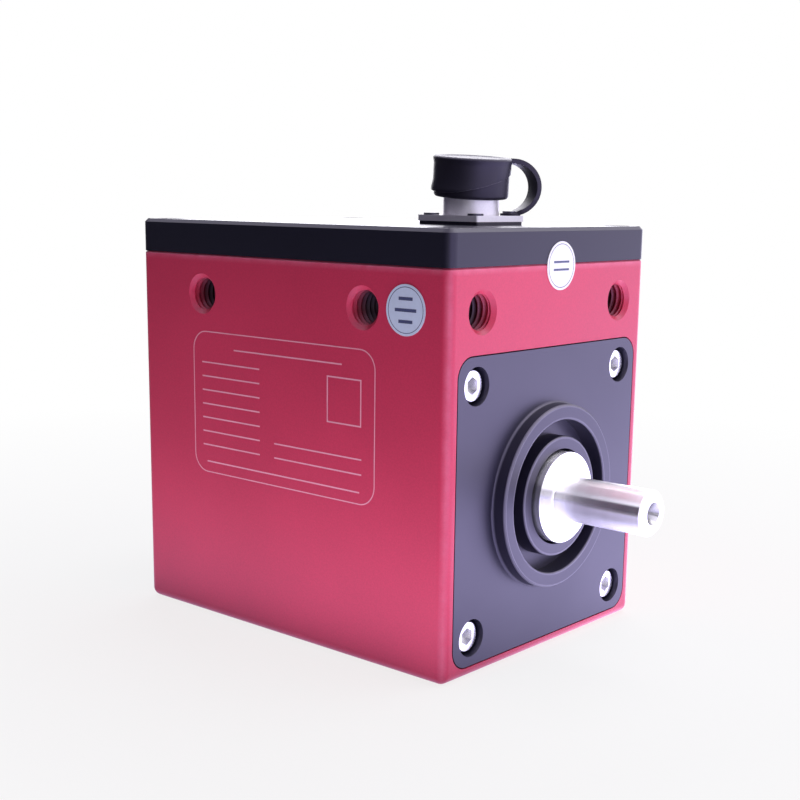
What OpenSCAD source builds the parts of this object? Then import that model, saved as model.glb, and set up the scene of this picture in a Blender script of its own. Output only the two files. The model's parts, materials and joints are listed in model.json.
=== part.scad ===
// Rotary torque sensor: a torsion shaft with strain gauges runs in two ball bearings
// inside a square aluminium housing, with ring transformers, a slotted speed disc,
// a signal board under the lid and a capped round connector on top.
// Millimetres. X runs along the shaft, Z is up, the origin is the middle of the base.

/* [Housing] */
// Length of the housing along the shaft
housing_l = 87; // [84:1:100]
// Width of the housing across the shaft
housing_w = 65.5; // [63:0.5:76]
// Height of the housing under its lid
housing_h = 78.2; // [77:0.1:90]
// Radius of the four upright edges and of the bottom edges
edge_r = 2; // [1.5:0.25:3]
// Chamfer round the top of the housing
housing_chamfer = 0.4; // [0.2:0.1:0.8]
// Height of the shaft axis above the base
axis_h = 32.1; // [31.9:0.1:32.6]
// Bore in the middle of the housing
bore_d = 49; // [48:0.5:50]
// Bore that takes the stators and the plate spigots
stator_bore_d = 52; // [51:0.5:54]
// Length of the electronics bay
bay_l = 58; // [56:1:60]
// Width of the electronics bay
bay_w = 40; // [38:1:41]
// Depth of the electronics bay under the lid
bay_depth = 17.1; // [16:0.1:18]
// Corner radius of the electronics bay
bay_r = 4; // [2:0.5:5]

/* [Tapped mounting holes] */
// Thread diameter of the holes in the sides and ends
side_thread_d = 8; // [6:1:8]
// Depth of the side and end holes
side_thread_depth = 9; // [7:0.5:9.5]
// Mouth diameter of the side and end holes
side_mouth_d = 8.4; // [8.2:0.1:9]
// Distance between the two holes on a side or an end
side_hole_pitch = 46; // [44:0.5:47]
// Height of the side and end holes above the base
side_hole_h = 69.9; // [69.4:0.1:70.4]
// Shift of the hole pairs on the long sides along the shaft
side_hole_shift = -0.6; // [-2:0.1:2]
// Thread diameter of the holes in the base
base_thread_d = 6; // [4:1:6]
// Depth of the base holes
base_thread_depth = 9; // [6:0.5:10]
// Mouth diameter of the base holes
base_mouth_d = 6.6; // [6.2:0.1:7]
// Distance between the base holes along the shaft
base_pitch_x = 40; // [30:1:44]
// Distance between the base holes across the shaft
base_pitch_y = 44; // [38:1:46]

/* [Lid] */
// Thickness of the lid
lid_t = 6.9; // [6:0.1:8]
// Chamfer round the top of the lid
lid_chamfer = 0.7; // [0.5:0.1:1.2]
// Depth of the locating lip under the lid
lip_h = 2; // [1:0.25:3]
// Wall of the locating lip
lip_wall = 2; // [1.5:0.25:2.5]
// Gap between the lip and the bay wall
lip_gap = 0.2; // [0.1:0.05:0.4]
// Distance of the lid screws from the ends
lid_screw_end = 5; // [4.5:0.25:5.5]
// Distance of the lid screws from the long sides
lid_screw_side = 4.2; // [4:0.1:4.5]
// Head diameter of the countersunk lid screws
lid_head_d = 5.8; // [5.4:0.1:6.2]
// Length of the lid screws
lid_screw_l = 12; // [10:0.5:12]

/* [End plates] */
// Side of the square end plates
plate_w = 59.5; // [58:0.25:59.5]
// Corner radius of the end plates
plate_r = 4; // [3:0.1:5]
// Thickness of the end plates
plate_t = 6; // [5.5:0.25:7]
// Gap between an end plate and its pocket
plate_gap = 0.25; // [0.15:0.05:0.3]
// Diameter of the raised boss
boss_d = 37.1; // [36.5:0.1:40]
// Height of the raised boss
boss_h = 2.9; // [2.5:0.1:4]
// Edge chamfer of the boss, hub and grooves
boss_chamfer = 0.4; // [0.2:0.05:0.6]
// Fillet between the boss and the plate
boss_fillet = 0.5; // [0.2:0.05:0.8]
// Outer diameter of the ring groove in the boss
groove_d = 31.1; // [29:0.1:32]
// Diameter of the hub inside the ring groove
hub_d = 24.3; // [23:0.1:25]
// Depth of the ring groove
groove_depth = 4; // [2:0.25:4.5]
// Radial gap between the hub and the turning neck
neck_gap = 0.55; // [0.3:0.05:0.8]
// Distance between the plate screws
plate_screw_pitch = 48.5; // [47.5:0.25:49]
// Thread diameter of the plate and lid screws
screw_d = 3; // [2.5:0.5:3]
// Head diameter of the plate screws
screw_head_d = 6.2; // [5.5:0.1:6.6]
// Head height of the plate screws
screw_head_h = 3; // [2.5:0.1:3]
// Width across the flats of the hexagon sockets
screw_socket = 3; // [2.5:0.1:3.2]
// Length of the plate screws under the head
screw_l = 10; // [8:1:12]
// Diameter of the counterbores for the plate screws
counterbore_d = 7.4; // [7:0.1:8]
// How far the screw heads lie below the plate face
head_sink = 1.1; // [0.2:0.1:1.4]

/* [Torsion shaft] */
// Diameter of the shaft ends
shaft_d = 9; // [8:0.5:12]
// Free length of each shaft end
shaft_end_l = 20; // [16:0.5:30]
// Chamfer on the shaft ends
shaft_chamfer = 0.6; // [0.3:0.1:1]
// Fillet at the root of the shaft ends
shaft_fillet = 0.4; // [0.2:0.1:0.8]
// Mouth diameter of the centre holes
centre_d = 4.5; // [3:0.1:5]
// Pilot diameter of the centre holes
centre_pilot_d = 2; // [1.5:0.1:2.5]
// Depth of the pilot of the centre holes
centre_pilot_l = 5; // [4:0.5:8]
// Diameter of the neck that fills the hub
neck_d = 18.3; // [17.5:0.1:18.5]
// How far the neck stands out of the boss
neck_proud = 1.25; // [0.5:0.05:2]
// Diameter of the seats for the rotor rings
seat_d = 23; // [22.6:0.1:23.2]
// Diameter of the thin torsion section
torsion_d = 8; // [6:0.5:10]
// Length of the thin torsion section
torsion_l = 18; // [14:1:20]
// Fillet at the ends of the torsion section
torsion_fillet = 3; // [1:0.5:3]

/* [Bearings] */
// Bore of the ball bearings
bearing_bore = 20; // [19.5:0.1:20.5]
// Outer diameter of the ball bearings
bearing_od = 32; // [31.5:0.1:32.5]
// Width of the ball bearings
bearing_w = 7; // [6.5:0.1:7]
// Distance of the bearing middles from the middle of the shaft
bearing_x = 35; // [34.8:0.1:35.2]
// Ball diameter as a share of the outer diameter
ball_share = 0.109; // [0.104:0.001:0.112]
// Number of balls in a bearing
ball_n = 11; // [9:1:12]
// Free height of the preload washer
washer_h = 0.8; // [0.6:0.05:1]
// Width of the ring of the preload washer
washer_w = 1.5; // [1:0.1:1.6]

/* [Ring transformers] */
// Distance of the transformer rings from the middle of the shaft
ring_x = 18; // [18:0.25:19]
// Width of the transformer rings
ring_w = 10; // [9:0.25:10]
// Outer diameter of the rotor cores
rotor_core_d = 36; // [34:0.5:37]
// Radial air gap between rotor and stator
air_gap = 0.5; // [0.3:0.05:0.8]
// Wall of the ferrite channels
ferrite_wall = 1.8; // [1.4:0.1:2.2]
// Outer diameter of the rotor board
rotor_board_d = 35; // [32:0.5:36]
// Thickness of the circuit boards
board_t = 1.6; // [1:0.1:2]
// Length of a strain gauge
gauge_l = 7; // [4:0.5:9]
// Arc that a strain gauge covers, in degrees
gauge_arc = 50; // [30:5:70]
// Thickness of a strain gauge
gauge_t = 0.2; // [0.1:0.05:0.4]

/* [Speed pickup] */
// Diameter of the slotted disc
disc_d = 46; // [44:0.5:46.5]
// Thickness of the slotted disc
disc_t = 0.8; // [0.5:0.1:1]
// Number of slots in the disc
disc_slots = 120; // [60:10:120]
// Radial length of a slot
slot_l = 3; // [2:0.25:4]
// Diameter of the hub that carries the disc
disc_hub_d = 32; // [31:0.5:34]
// Width of the hub that carries the disc
disc_hub_w = 4.5; // [4:0.25:5]
// Width of the slot in the light fork
fork_slot = 2.4; // [2:0.1:3]
// Thickness of each arm of the fork
fork_arm = 2.6; // [2:0.1:2.7]
// Width of the fork
fork_w = 7; // [5:0.5:9]
// How deep the fork reaches over the disc
fork_reach = 3.2; // [2.5:0.1:4]
// Length of the mounting ears of the fork
ear_l = 23; // [21:0.5:25]
// Thickness of the mounting ears
ear_t = 1.6; // [1.2:0.1:2]
// Thread diameter of the small screws
small_screw_d = 2; // [1.6:0.2:2.5]
// Head diameter of the small screws
small_head_d = 3.2; // [2.8:0.1:3.6]
// Head height of the small screws
small_head_h = 0.4; // [0.3:0.1:0.8]

/* [Signal board] */
// Length of the signal board
board_l = 54; // [50:1:55]
// Width of the signal board
board_w = 36; // [34:1:37]
// Inset of the standoffs from the board edge
standoff_inset = 3; // [2.6:0.1:3.5]
// Height of the standoffs
standoff_h = 5.5; // [5:0.1:6]
// Width of the standoffs across their corners
standoff_d = 5; // [4.5:0.1:5.2]
// Height of the lead header on the board
header_h = 3; // [2.5:0.1:3.5]

/* [Connector] */
// Distance of the connector from the middle of the lid
connector_x = 21.9; // [18:0.1:22.5]
// Side of the square flange
flange_w = 15.5; // [15:0.1:18]
// Thickness of the flange
flange_t = 1.2; // [1:0.1:1.6]
// Corner radius of the flange
flange_r = 0.5; // [0.3:0.1:1.5]
// Distance between the flange screws
flange_pitch = 11.4; // [11.2:0.1:12.2]
// Thickness of the flange gasket
gasket_t = 0.7; // [0.3:0.05:1]
// Diameter of the barrel
barrel_d = 11.4; // [10.8:0.1:11.5]
// Height of the barrel above the flange
barrel_h = 10.4; // [10:0.1:12]
// Wall of the barrel
barrel_wall = 1; // [0.8:0.05:1.2]
// Diameter of the body that goes through the lid
tail_d = 10; // [9.6:0.1:10.2]
// How far the body reaches below the lid
tail_l = 2.5; // [2:0.1:3]
// Depth of the plug socket
socket_depth = 9; // [8:0.1:9.5]
// Diameter of the contact pins
pin_d = 1; // [0.8:0.1:1.2]
// Height of the contact pins above the insert
pin_h = 4.4; // [3:0.1:4.5]
// Number of contact pins
pin_n = 5; // [3:1:5]
// Diameter of the circle of pins
pin_circle_d = 5.2; // [4.6:0.1:5.6]

/* [Dust cap] */
// Diameter of the cap
cap_d = 15.2; // [14.5:0.1:16.5]
// Height of the cap
cap_h = 8.5; // [8:0.1:10]
// Diameter of the top rim of the cap
cap_rim_d = 16.2; // [15.6:0.1:17.5]
// Height of the top rim of the cap
cap_rim_h = 1.5; // [1:0.1:2]
// Height of the lower skirt of the cap
cap_skirt_h = 2.5; // [2:0.1:3.5]
// Thickness of the top of the cap
cap_top_t = 1.1; // [0.8:0.1:1.6]
// Gap between the cap and the connector
cap_gap = 0.15; // [0.1:0.05:0.3]
// Direction of the strap seen from above, in degrees from the shaft
strap_angle = 45; // [40:1:50]
// Width of the strap
strap_w = 4; // [3:0.25:5]
// Thickness of the strap
strap_t = 0.9; // [0.7:0.1:1.2]
// How far the strap stands out from the middle of the connector
strap_reach = 15; // [15:0.25:18]
// Thickness of the strap eyelet under the flange screw
eyelet_t = 0.5; // [0.4:0.1:0.8]
// Diameter of the strap eyelet under the flange screw
eyelet_d = 4.2; // [3.8:0.1:4.4]

/* [Hidden] */
$fn = 96;
// Play between pieces that are fitted together
fit_gap = 0.02;
// Play round the shank of a screw
screw_play = 0.2;
// Gap between pieces that move past each other
run_gap = 0.3;
// Play of a ball in its races and in its cage pocket
ball_play = 0.06;
// Overshoot of a cutting shape past the face that it cuts
over = 0.2;

lid_z = housing_h;
lid_top = housing_h + lid_t;
bay_floor = housing_h - bay_depth;
plate_x = housing_l / 2 - plate_t;
boss_x = housing_l / 2 + boss_h;
neck_x = boss_x + neck_proud;
shaft_x = neck_x + shaft_end_l;
spigot_x = ring_x + ring_w;
bearing_in = bearing_x - bearing_w / 2;
bearing_out = bearing_x + bearing_w / 2;
bearing_pitch_r = (bearing_bore + bearing_od) / 4;
ball_d = bearing_od * ball_share;
race_share = 0.63;
race_gap = ball_d * race_share;
inner_race_r = bearing_pitch_r - race_gap / 2;
outer_race_r = bearing_pitch_r + race_gap / 2;
cage_gap = 0.5;
cage_t = race_gap - 2 * cage_gap;
cage_w = bearing_w - 2;
relief_depth = 0.5;
rotor_half = rotor_core_d / 2;
stator_in_r = rotor_half + air_gap;
coil_x1 = ring_x + ferrite_wall;
coil_x2 = ring_x + ring_w - ferrite_wall;
stator_out_r = stator_bore_d / 2 - fit_gap;
disc_x = -ring_x + disc_hub_w;
disc_mid = disc_x + disc_t / 2;
disc_r = disc_d / 2;
disc_screw_n = 3;
disc_screw_r = (seat_d + disc_hub_d) / 4;
disc_screw_l = disc_hub_w - 1;
fork_mid = disc_mid;
fork_l = fork_slot + 2 * fork_arm;
fork_low = axis_h + disc_r - fork_reach;
fork_gap = 1.2;
ear_hole = ear_l / 2 - 2.8;
board_z = bay_floor + standoff_h;
standoff_x = board_l / 2 - standoff_inset;
standoff_y = board_w / 2 - standoff_inset;
flange_z = lid_top + gasket_t;
barrel_z = flange_z + flange_t;
barrel_top = barrel_z + barrel_h;
insert_z = barrel_top - socket_depth;
tail_z = lid_z - tail_l;
bore_r = barrel_d / 2 - barrel_wall;
tail_r = bore_r - barrel_wall / 2;
header_z = board_z + board_t;
cap_top = barrel_top + cap_gap + cap_top_t;
cap_z = cap_top - cap_h;
strap_mid_r = strap_reach - strap_t / 2;
strap_low = barrel_z + strap_t / 2;
strap_high = cap_top - cap_rim_h / 2;
loop_r = (strap_high - strap_low) / 2;
loop_x = strap_mid_r - loop_r;
loop_z = (strap_high + strap_low) / 2;
eyelet_x = flange_pitch / 2 * sqrt(2);
lid_screw_x = housing_l / 2 - lid_screw_end;
lid_screw_y = housing_w / 2 - lid_screw_side;
head_x = housing_l / 2 - head_sink;
// Tapped holes clear the screws in them by the fit
screw_tap_d = screw_d + 2 * fit_gap;
small_tap_d = small_screw_d + 2 * fit_gap;
board_screw_d = 2.5;
board_tap_d = board_screw_d + 2 * fit_gap;
board_screw_l = 4;
pickup_thread_l = 2;
drill_tip_d = 0.4;
chip_h = 1.6;
processor_w = 10;
amplifier_l = 5;
amplifier_w = 4;
capacitor_d = 6;

// Outline of the corner that a chamfer c takes off, outwards along X and up along Y
function wedge(c) = [[-c - over, over], [over, -c - over], [over, over]];

anodised_red = [0.72, 0.13, 0.24];
anodised_black = [0.13, 0.12, 0.17];
polished_steel = [0.82, 0.82, 0.84];
nickel = [0.78, 0.77, 0.8];
ferrite = [0.24, 0.23, 0.24];
copper = [0.72, 0.42, 0.2];
board_green = [0.1, 0.36, 0.2];
black_plastic = [0.1, 0.1, 0.11];
black_rubber = [0.09, 0.09, 0.12];
gauge_film = [0.78, 0.55, 0.2];

// Shared shapes

// Rectangle with round corners, about its middle
module round_rect(l, w, r) {
    square([l - 2 * r, w], center = true);
    square([l, w - 2 * r], center = true);
    at_corners(l / 2 - r, w / 2 - r) circle(r);
}

// Children at the four corners of a rectangle
module at_corners(x, y) {
    for (sx = [-1, 1], sy = [-1, 1]) translate([sx * x, sy * y, 0]) children();
}

// Children with their Z axis laid along the shaft
module along_shaft(x = 0) {
    translate([x, 0, axis_h]) rotate([0, 90, 0]) children();
}

// Ring about the shaft, from radius r1 to r2 and from x1 to x2
module shaft_ring(r1, r2, x1, x2) {
    along_shaft() rotate_extrude() translate([r1, x1]) square([r2 - r1, x2 - x1]);
}

// Cutter for a chamfer c round the top, at height 0, of a rounded rectangle
module edge_break(l, w, r, c) {
    for (a = [0, 180]) rotate([0, 0, a]) {
        translate([l / 2, w / 2 - r, 0]) rotate([90, 0, 0]) linear_extrude(w - 2 * r) polygon(wedge(c));
        translate([-l / 2 + r, w / 2, 0]) rotate([90, 0, 90]) linear_extrude(l - 2 * r) polygon(wedge(c));
        translate([l / 2 - r, w / 2 - r, 0]) rotate_extrude(angle = 90) translate([r, 0]) polygon(wedge(c));
        translate([-l / 2 + r, w / 2 - r, 0]) rotate([0, 0, 90])
            rotate_extrude(angle = 90) translate([r, 0]) polygon(wedge(c));
    }
}

// Cutter for a blind tapped hole that goes down from height 0
module tapped_hole(d, depth, mouth) {
    point = d / 4;
    translate([0, 0, -depth]) cylinder(d = d, h = depth + over);
    translate([0, 0, -depth - point]) cylinder(d1 = drill_tip_d, d2 = d, h = point);
    translate([0, 0, (d - mouth) / 2]) cylinder(d1 = d, d2 = mouth + 2 * over, h = (mouth - d) / 2 + over);
}

// Socket head screw, its head resting on height 0 and its shank going down
module socket_screw(d, l, head_d, head_h, socket) {
    edge = head_h / 12;
    difference() {
        union() {
            cylinder(d = head_d, h = head_h - edge);
            translate([0, 0, head_h - edge]) cylinder(d1 = head_d, d2 = head_d - 2 * edge, h = edge);
            translate([0, 0, -l]) cylinder(d = d, h = l + over);
        }
        translate([0, 0, head_h / 2]) cylinder(d = socket / cos(30), h = head_h, $fn = 6);
    }
}

// Countersunk screw with a hexagon socket, its flat top at height 0
module countersunk_screw(d, l, head_d, socket) {
    cone = (head_d - d) / 2;
    difference() {
        union() {
            translate([0, 0, -cone]) cylinder(d1 = d, d2 = head_d, h = cone);
            translate([0, 0, -l]) cylinder(d = d, h = l - cone + over / 2);
        }
        translate([0, 0, -cone]) cylinder(d = socket / cos(30), h = l, $fn = 6);
    }
}

// Low cheese head screw with a slot, its head resting on height 0
module slotted_screw(d, l, head_d, head_h) {
    difference() {
        union() {
            cylinder(d = head_d, h = head_h);
            translate([0, 0, -l]) cylinder(d = d, h = l + head_h / 2);
        }
        translate([-head_d, -head_d / 12, head_h / 2]) cube([2 * head_d, head_d / 6, head_h]);
    }
}

// Housing and lid

// Round bar that rounds a bottom edge, lying along Y
module bottom_round(l) {
    rotate([90, 0, 0]) cylinder(r = edge_r, h = l, center = true);
}

// Block with round upright edges, round bottom edges and ball corners
module housing_block() {
    core_l = housing_l - 2 * edge_r;
    core_w = housing_w - 2 * edge_r;
    difference() {
        union() {
            translate([0, 0, edge_r]) linear_extrude(housing_h - edge_r) round_rect(housing_l, housing_w, edge_r);
            linear_extrude(2 * edge_r) square([core_l, core_w], center = true);
            for (s = [-1, 1]) {
                translate([s * core_l / 2, 0, edge_r]) bottom_round(core_w);
                translate([0, s * core_w / 2, edge_r]) rotate([0, 0, 90]) bottom_round(core_l);
            }
            at_corners(core_l / 2, core_w / 2) translate([0, 0, edge_r]) sphere(edge_r);
        }
        translate([0, 0, housing_h]) edge_break(housing_l, housing_w, edge_r, housing_chamfer);
    }
}

module housing() {
    pocket_w = plate_w + 2 * plate_gap;
    color(anodised_red) difference() {
        housing_block();
        // shaft bore, stator seats and plate pockets
        along_shaft(-housing_l / 2) cylinder(d = bore_d, h = housing_l);
        for (m = [0, 1]) mirror([m, 0, 0]) {
            along_shaft(ring_x) cylinder(d = stator_bore_d, h = housing_l / 2);
            along_shaft(plate_x) linear_extrude(plate_t + over)
                round_rect(pocket_w, pocket_w, plate_r + plate_gap);
            along_shaft(plate_x) at_corners(plate_screw_pitch / 2, plate_screw_pitch / 2)
                tapped_hole(screw_tap_d, screw_l, screw_tap_d + over);
        }
        // electronics bay with the window of the speed pickup
        translate([0, 0, bay_floor]) linear_extrude(bay_depth + over) round_rect(bay_l, bay_w, bay_r);
        translate([fork_mid, 0, axis_h]) linear_extrude(housing_h - axis_h)
            square([fork_l + 4 * run_gap, fork_w + 4 * run_gap], center = true);
        translate([fork_mid, 0, bay_floor]) for (s = [-1, 1]) translate([0, s * ear_hole, 0])
            tapped_hole(small_tap_d, pickup_thread_l, small_tap_d + over);
        translate([0, 0, bay_floor]) at_corners(standoff_x, standoff_y)
            tapped_hole(board_tap_d, board_screw_l, board_tap_d + over);
        // lid screws, mounting holes in the sides, the ends and the base
        translate([0, 0, lid_z]) at_corners(lid_screw_x, lid_screw_y)
            tapped_hole(screw_tap_d, lid_screw_l - lid_t, screw_tap_d + over);
        for (s = [-1, 1], m = [0, 1]) {
            hole_x = side_hole_shift + s * side_hole_pitch / 2;
            mirror([0, m, 0]) translate([hole_x, -housing_w / 2, side_hole_h])
                rotate([90, 0, 0]) tapped_hole(side_thread_d, side_thread_depth, side_mouth_d);
            mirror([m, 0, 0]) translate([housing_l / 2, s * side_hole_pitch / 2, side_hole_h])
                rotate([0, 90, 0]) tapped_hole(side_thread_d, side_thread_depth, side_mouth_d);
        }
        at_corners(base_pitch_x / 2, base_pitch_y / 2) rotate([180, 0, 0])
            tapped_hole(base_thread_d, base_thread_depth, base_mouth_d);
    }
}

module lid() {
    lip_l = bay_l - 2 * lip_gap;
    lip_w = bay_w - 2 * lip_gap;
    color(anodised_black) difference() {
        union() {
            translate([0, 0, lid_z]) linear_extrude(lid_t) round_rect(housing_l, housing_w, edge_r);
            translate([0, 0, lid_z - lip_h]) linear_extrude(lip_h + over) difference() {
                round_rect(lip_l, lip_w, bay_r - lip_gap);
                square([lip_l - 2 * lip_wall, lip_w - 2 * lip_wall], center = true);
            }
        }
        translate([0, 0, lid_top]) edge_break(housing_l, housing_w, edge_r, lid_chamfer);
        translate([connector_x, 0, lid_z - lip_h - over])
            cylinder(d = tail_d + 2 * screw_play, h = lid_t + 2 * lip_h);
        translate([connector_x, 0, lid_top]) at_corners(flange_pitch / 2, flange_pitch / 2)
            tapped_hole(small_tap_d, lid_t / 2, small_tap_d + over);
        translate([0, 0, lid_top]) at_corners(lid_screw_x, lid_screw_y) {
            translate([0, 0, -2 * lid_t]) cylinder(d = screw_d + 2 * screw_play, h = 3 * lid_t);
            translate([0, 0, -(lid_head_d - screw_d) / 2 - screw_play])
                cylinder(d1 = screw_d + 2 * fit_gap, d2 = lid_head_d + 2 * (fit_gap + screw_play),
                    h = (lid_head_d - screw_d) / 2 + screw_play);
        }
    }
}

module lid_screws() {
    color(black_plastic) translate([0, 0, lid_top - screw_play]) at_corners(lid_screw_x, lid_screw_y)
        countersunk_screw(screw_d, lid_screw_l - screw_play - over, lid_head_d, 2 * screw_d / 3);
}

// End plates

module end_plate(seat_floor) {
    difference() {
        union() {
            along_shaft(plate_x) linear_extrude(plate_t) round_rect(plate_w, plate_w, plate_r);
            along_shaft(spigot_x) cylinder(d = stator_bore_d - 2 * fit_gap, h = plate_x - spigot_x + over);
            along_shaft(housing_l / 2) boss_ring();
        }
        // ring groove, neck bore, bearing seat and its relief
        shaft_ring(hub_d / 2, groove_d / 2, boss_x - groove_depth, boss_x + over);
        along_shaft(spigot_x) cylinder(d = neck_d + 2 * neck_gap, h = shaft_x);
        along_shaft(spigot_x) cylinder(d = bearing_od + 2 * fit_gap, h = seat_floor - spigot_x);
        along_shaft(seat_floor - over) cylinder(r = outer_race_r - fit_gap, h = relief_depth + over);
        along_shaft(spigot_x - over) cylinder(d = bearing_od + 2, h = bearing_in - spigot_x);
        // edge chamfers of the groove, the hub and the bore
        along_shaft(boss_x) for (r = [groove_d / 2, neck_d / 2 + neck_gap]) mouth_chamfer(r);
        along_shaft(boss_x) rotate_extrude() translate([hub_d / 2, 0]) polygon(wedge(boss_chamfer));
        along_shaft(head_x - screw_head_h) at_corners(plate_screw_pitch / 2, plate_screw_pitch / 2) {
            cylinder(d = counterbore_d, h = plate_t);
            translate([0, 0, -plate_t]) cylinder(d = screw_d + 2 * screw_play, h = plate_t + over);
        }
    }
}

// Raised boss on height 0, with a fillet at its foot and a chamfer on its edge
module boss_ring() {
    r = boss_d / 2;
    rotate_extrude() difference() {
        union() {
            translate([0, -over]) square([r, boss_h + over]);
            translate([0, -over]) square([r + boss_fillet, boss_fillet + over]);
        }
        translate([r + boss_fillet, boss_fillet]) circle(boss_fillet);
        translate([r, boss_h]) polygon(wedge(boss_chamfer));
    }
}

// Cutter for the chamfer of a bore of radius r at height 0
module mouth_chamfer(r) {
    c = boss_chamfer / 2;
    translate([0, 0, -c]) cylinder(r1 = r, r2 = r + c + over, h = c + over);
}

module front_end_plate() {
    color(anodised_black) end_plate(bearing_out);
}

module rear_end_plate() {
    color(anodised_black) mirror([1, 0, 0]) end_plate(bearing_out + washer_h);
}

module plate_screws() {
    along_shaft(head_x - screw_head_h) at_corners(plate_screw_pitch / 2, plate_screw_pitch / 2)
        socket_screw(screw_d, screw_l, screw_head_d, screw_head_h, screw_socket);
}

module front_plate_screws() {
    color(polished_steel) plate_screws();
}

module rear_plate_screws() {
    color(polished_steel) mirror([1, 0, 0]) plate_screws();
}

// Bearings

module race_groove() {
    along_shaft(bearing_x) rotate_extrude() translate([bearing_pitch_r, 0]) circle(ball_d / 2 + ball_play);
}

module bearing_outer_ring() {
    difference() {
        shaft_ring(outer_race_r, bearing_od / 2, bearing_in, bearing_out);
        race_groove();
    }
}

module bearing_inner_ring() {
    difference() {
        shaft_ring(bearing_bore / 2 + fit_gap, inner_race_r, bearing_in, bearing_out);
        race_groove();
    }
}

module at_balls() {
    along_shaft(bearing_x) for (i = [0 : ball_n - 1]) rotate([0, 0, i * 360 / ball_n])
        translate([bearing_pitch_r, 0, 0]) children();
}

module bearing_cage() {
    difference() {
        shaft_ring(bearing_pitch_r - cage_t / 2, bearing_pitch_r + cage_t / 2,
            bearing_x - cage_w / 2, bearing_x + cage_w / 2);
        at_balls() rotate([0, 90, 0]) cylinder(d = ball_d + 2 * ball_play, h = 3 * cage_t, center = true);
    }
}

module front_bearing_outer_ring() { color(polished_steel) bearing_outer_ring(); }
module front_bearing_inner_ring() { color(polished_steel) bearing_inner_ring(); }
module front_bearing_balls() { color(polished_steel) at_balls() sphere(d = ball_d); }
module front_bearing_cage() { color(nickel) bearing_cage(); }
module rear_bearing_outer_ring() { color(polished_steel) mirror([1, 0, 0]) bearing_outer_ring(); }
module rear_bearing_inner_ring() { color(polished_steel) mirror([1, 0, 0]) bearing_inner_ring(); }
module rear_bearing_balls() { color(polished_steel) mirror([1, 0, 0]) at_balls() sphere(d = ball_d); }
module rear_bearing_cage() { color(nickel) mirror([1, 0, 0]) bearing_cage(); }

// Conical spring washer between the rear bearing and its plate
module preload_washer() {
    r2 = bearing_od / 2 - over;
    r1 = r2 - washer_w;
    t = washer_h / 2;
    color(polished_steel) mirror([1, 0, 0]) along_shaft(bearing_out) rotate_extrude()
        polygon([[r1, washer_h - t], [r2, 0], [r2, t], [r1, washer_h]]);
}

// Turning shaft and what it carries

// Half outline of the shaft, radius along X and distance from its middle along Y
module shaft_half_outline() {
    wall_x = torsion_l / 2;
    fillet_r = torsion_d / 2 + torsion_fillet;
    square([torsion_d / 2, wall_x + over]);
    difference() {
        translate([0, wall_x - torsion_fillet]) square([fillet_r, torsion_fillet + over]);
        translate([fillet_r, wall_x - torsion_fillet]) circle(torsion_fillet);
    }
    translate([0, wall_x]) square([seat_d / 2, bearing_in - wall_x]);
    translate([0, wall_x]) square([bearing_bore / 2, bearing_out - run_gap - wall_x]);
    translate([0, wall_x]) square([neck_d / 2, neck_x - wall_x]);
    difference() {
        translate([0, wall_x]) square([shaft_d / 2, shaft_x - wall_x]);
        translate([shaft_d / 2, shaft_x]) polygon(wedge(shaft_chamfer));
    }
    difference() {
        translate([0, neck_x - over]) square([shaft_d / 2 + shaft_fillet, shaft_fillet + over]);
        translate([shaft_d / 2 + shaft_fillet, neck_x + shaft_fillet]) circle(shaft_fillet);
    }
}

// Cutter for a centre hole that goes down from height 0
module centre_hole() {
    cone = (centre_d - centre_pilot_d) / 2 * sqrt(3);
    translate([0, 0, -centre_pilot_l]) cylinder(d = centre_pilot_d, h = centre_pilot_l);
    translate([0, 0, -cone]) cylinder(d1 = centre_pilot_d, d2 = centre_d, h = cone);
    cylinder(d = centre_d, h = over);
}

module torsion_shaft() {
    color(polished_steel) difference() {
        union() for (m = [0, 1]) mirror([m, 0, 0]) along_shaft() rotate_extrude() shaft_half_outline();
        for (m = [0, 1]) mirror([m, 0, 0]) along_shaft(shaft_x) centre_hole();
    }
}

module strain_gauges() {
    r = torsion_d / 2 + fit_gap / 2;
    color(gauge_film) along_shaft(-gauge_l / 2) for (a = [0 : 90 : 270]) rotate([0, 0, a])
        rotate_extrude(angle = gauge_arc) translate([r, 0]) square([gauge_t, gauge_l]);
}

module rotor_board() {
    color(board_green) shaft_ring(seat_d / 2 + fit_gap, rotor_board_d / 2, ring_x - board_t, ring_x);
}

// Rotor core, a ferrite channel open outwards
module rotor_core() {
    difference() {
        shaft_ring(seat_d / 2 + fit_gap, rotor_half, ring_x, ring_x + ring_w);
        shaft_ring(seat_d / 2 + ferrite_wall, rotor_half + over, coil_x1, coil_x2);
    }
}

module rotor_coil() {
    shaft_ring(seat_d / 2 + ferrite_wall + fit_gap, rotor_half - over, coil_x1 + fit_gap, coil_x2 - fit_gap);
}

// Stator core, a ferrite channel open inwards
module stator_core() {
    difference() {
        shaft_ring(stator_in_r, stator_out_r, ring_x, ring_x + ring_w);
        shaft_ring(stator_in_r - over, stator_out_r - ferrite_wall, coil_x1, coil_x2);
    }
}

module stator_coil() {
    shaft_ring(stator_in_r + over, stator_out_r - ferrite_wall - fit_gap,
        coil_x1 + fit_gap, coil_x2 - fit_gap);
}

module power_rotor_core() { color(ferrite) rotor_core(); }
module power_rotor_coil() { color(copper) rotor_coil(); }
module power_stator_core() { color(ferrite) stator_core(); }
module power_stator_coil() { color(copper) stator_coil(); }
module signal_rotor_core() { color(ferrite) mirror([1, 0, 0]) rotor_core(); }
module signal_rotor_coil() { color(copper) mirror([1, 0, 0]) rotor_coil(); }
module signal_stator_core() { color(ferrite) mirror([1, 0, 0]) stator_core(); }
module signal_stator_coil() { color(copper) mirror([1, 0, 0]) stator_coil(); }

// Speed disc and pickup

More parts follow.
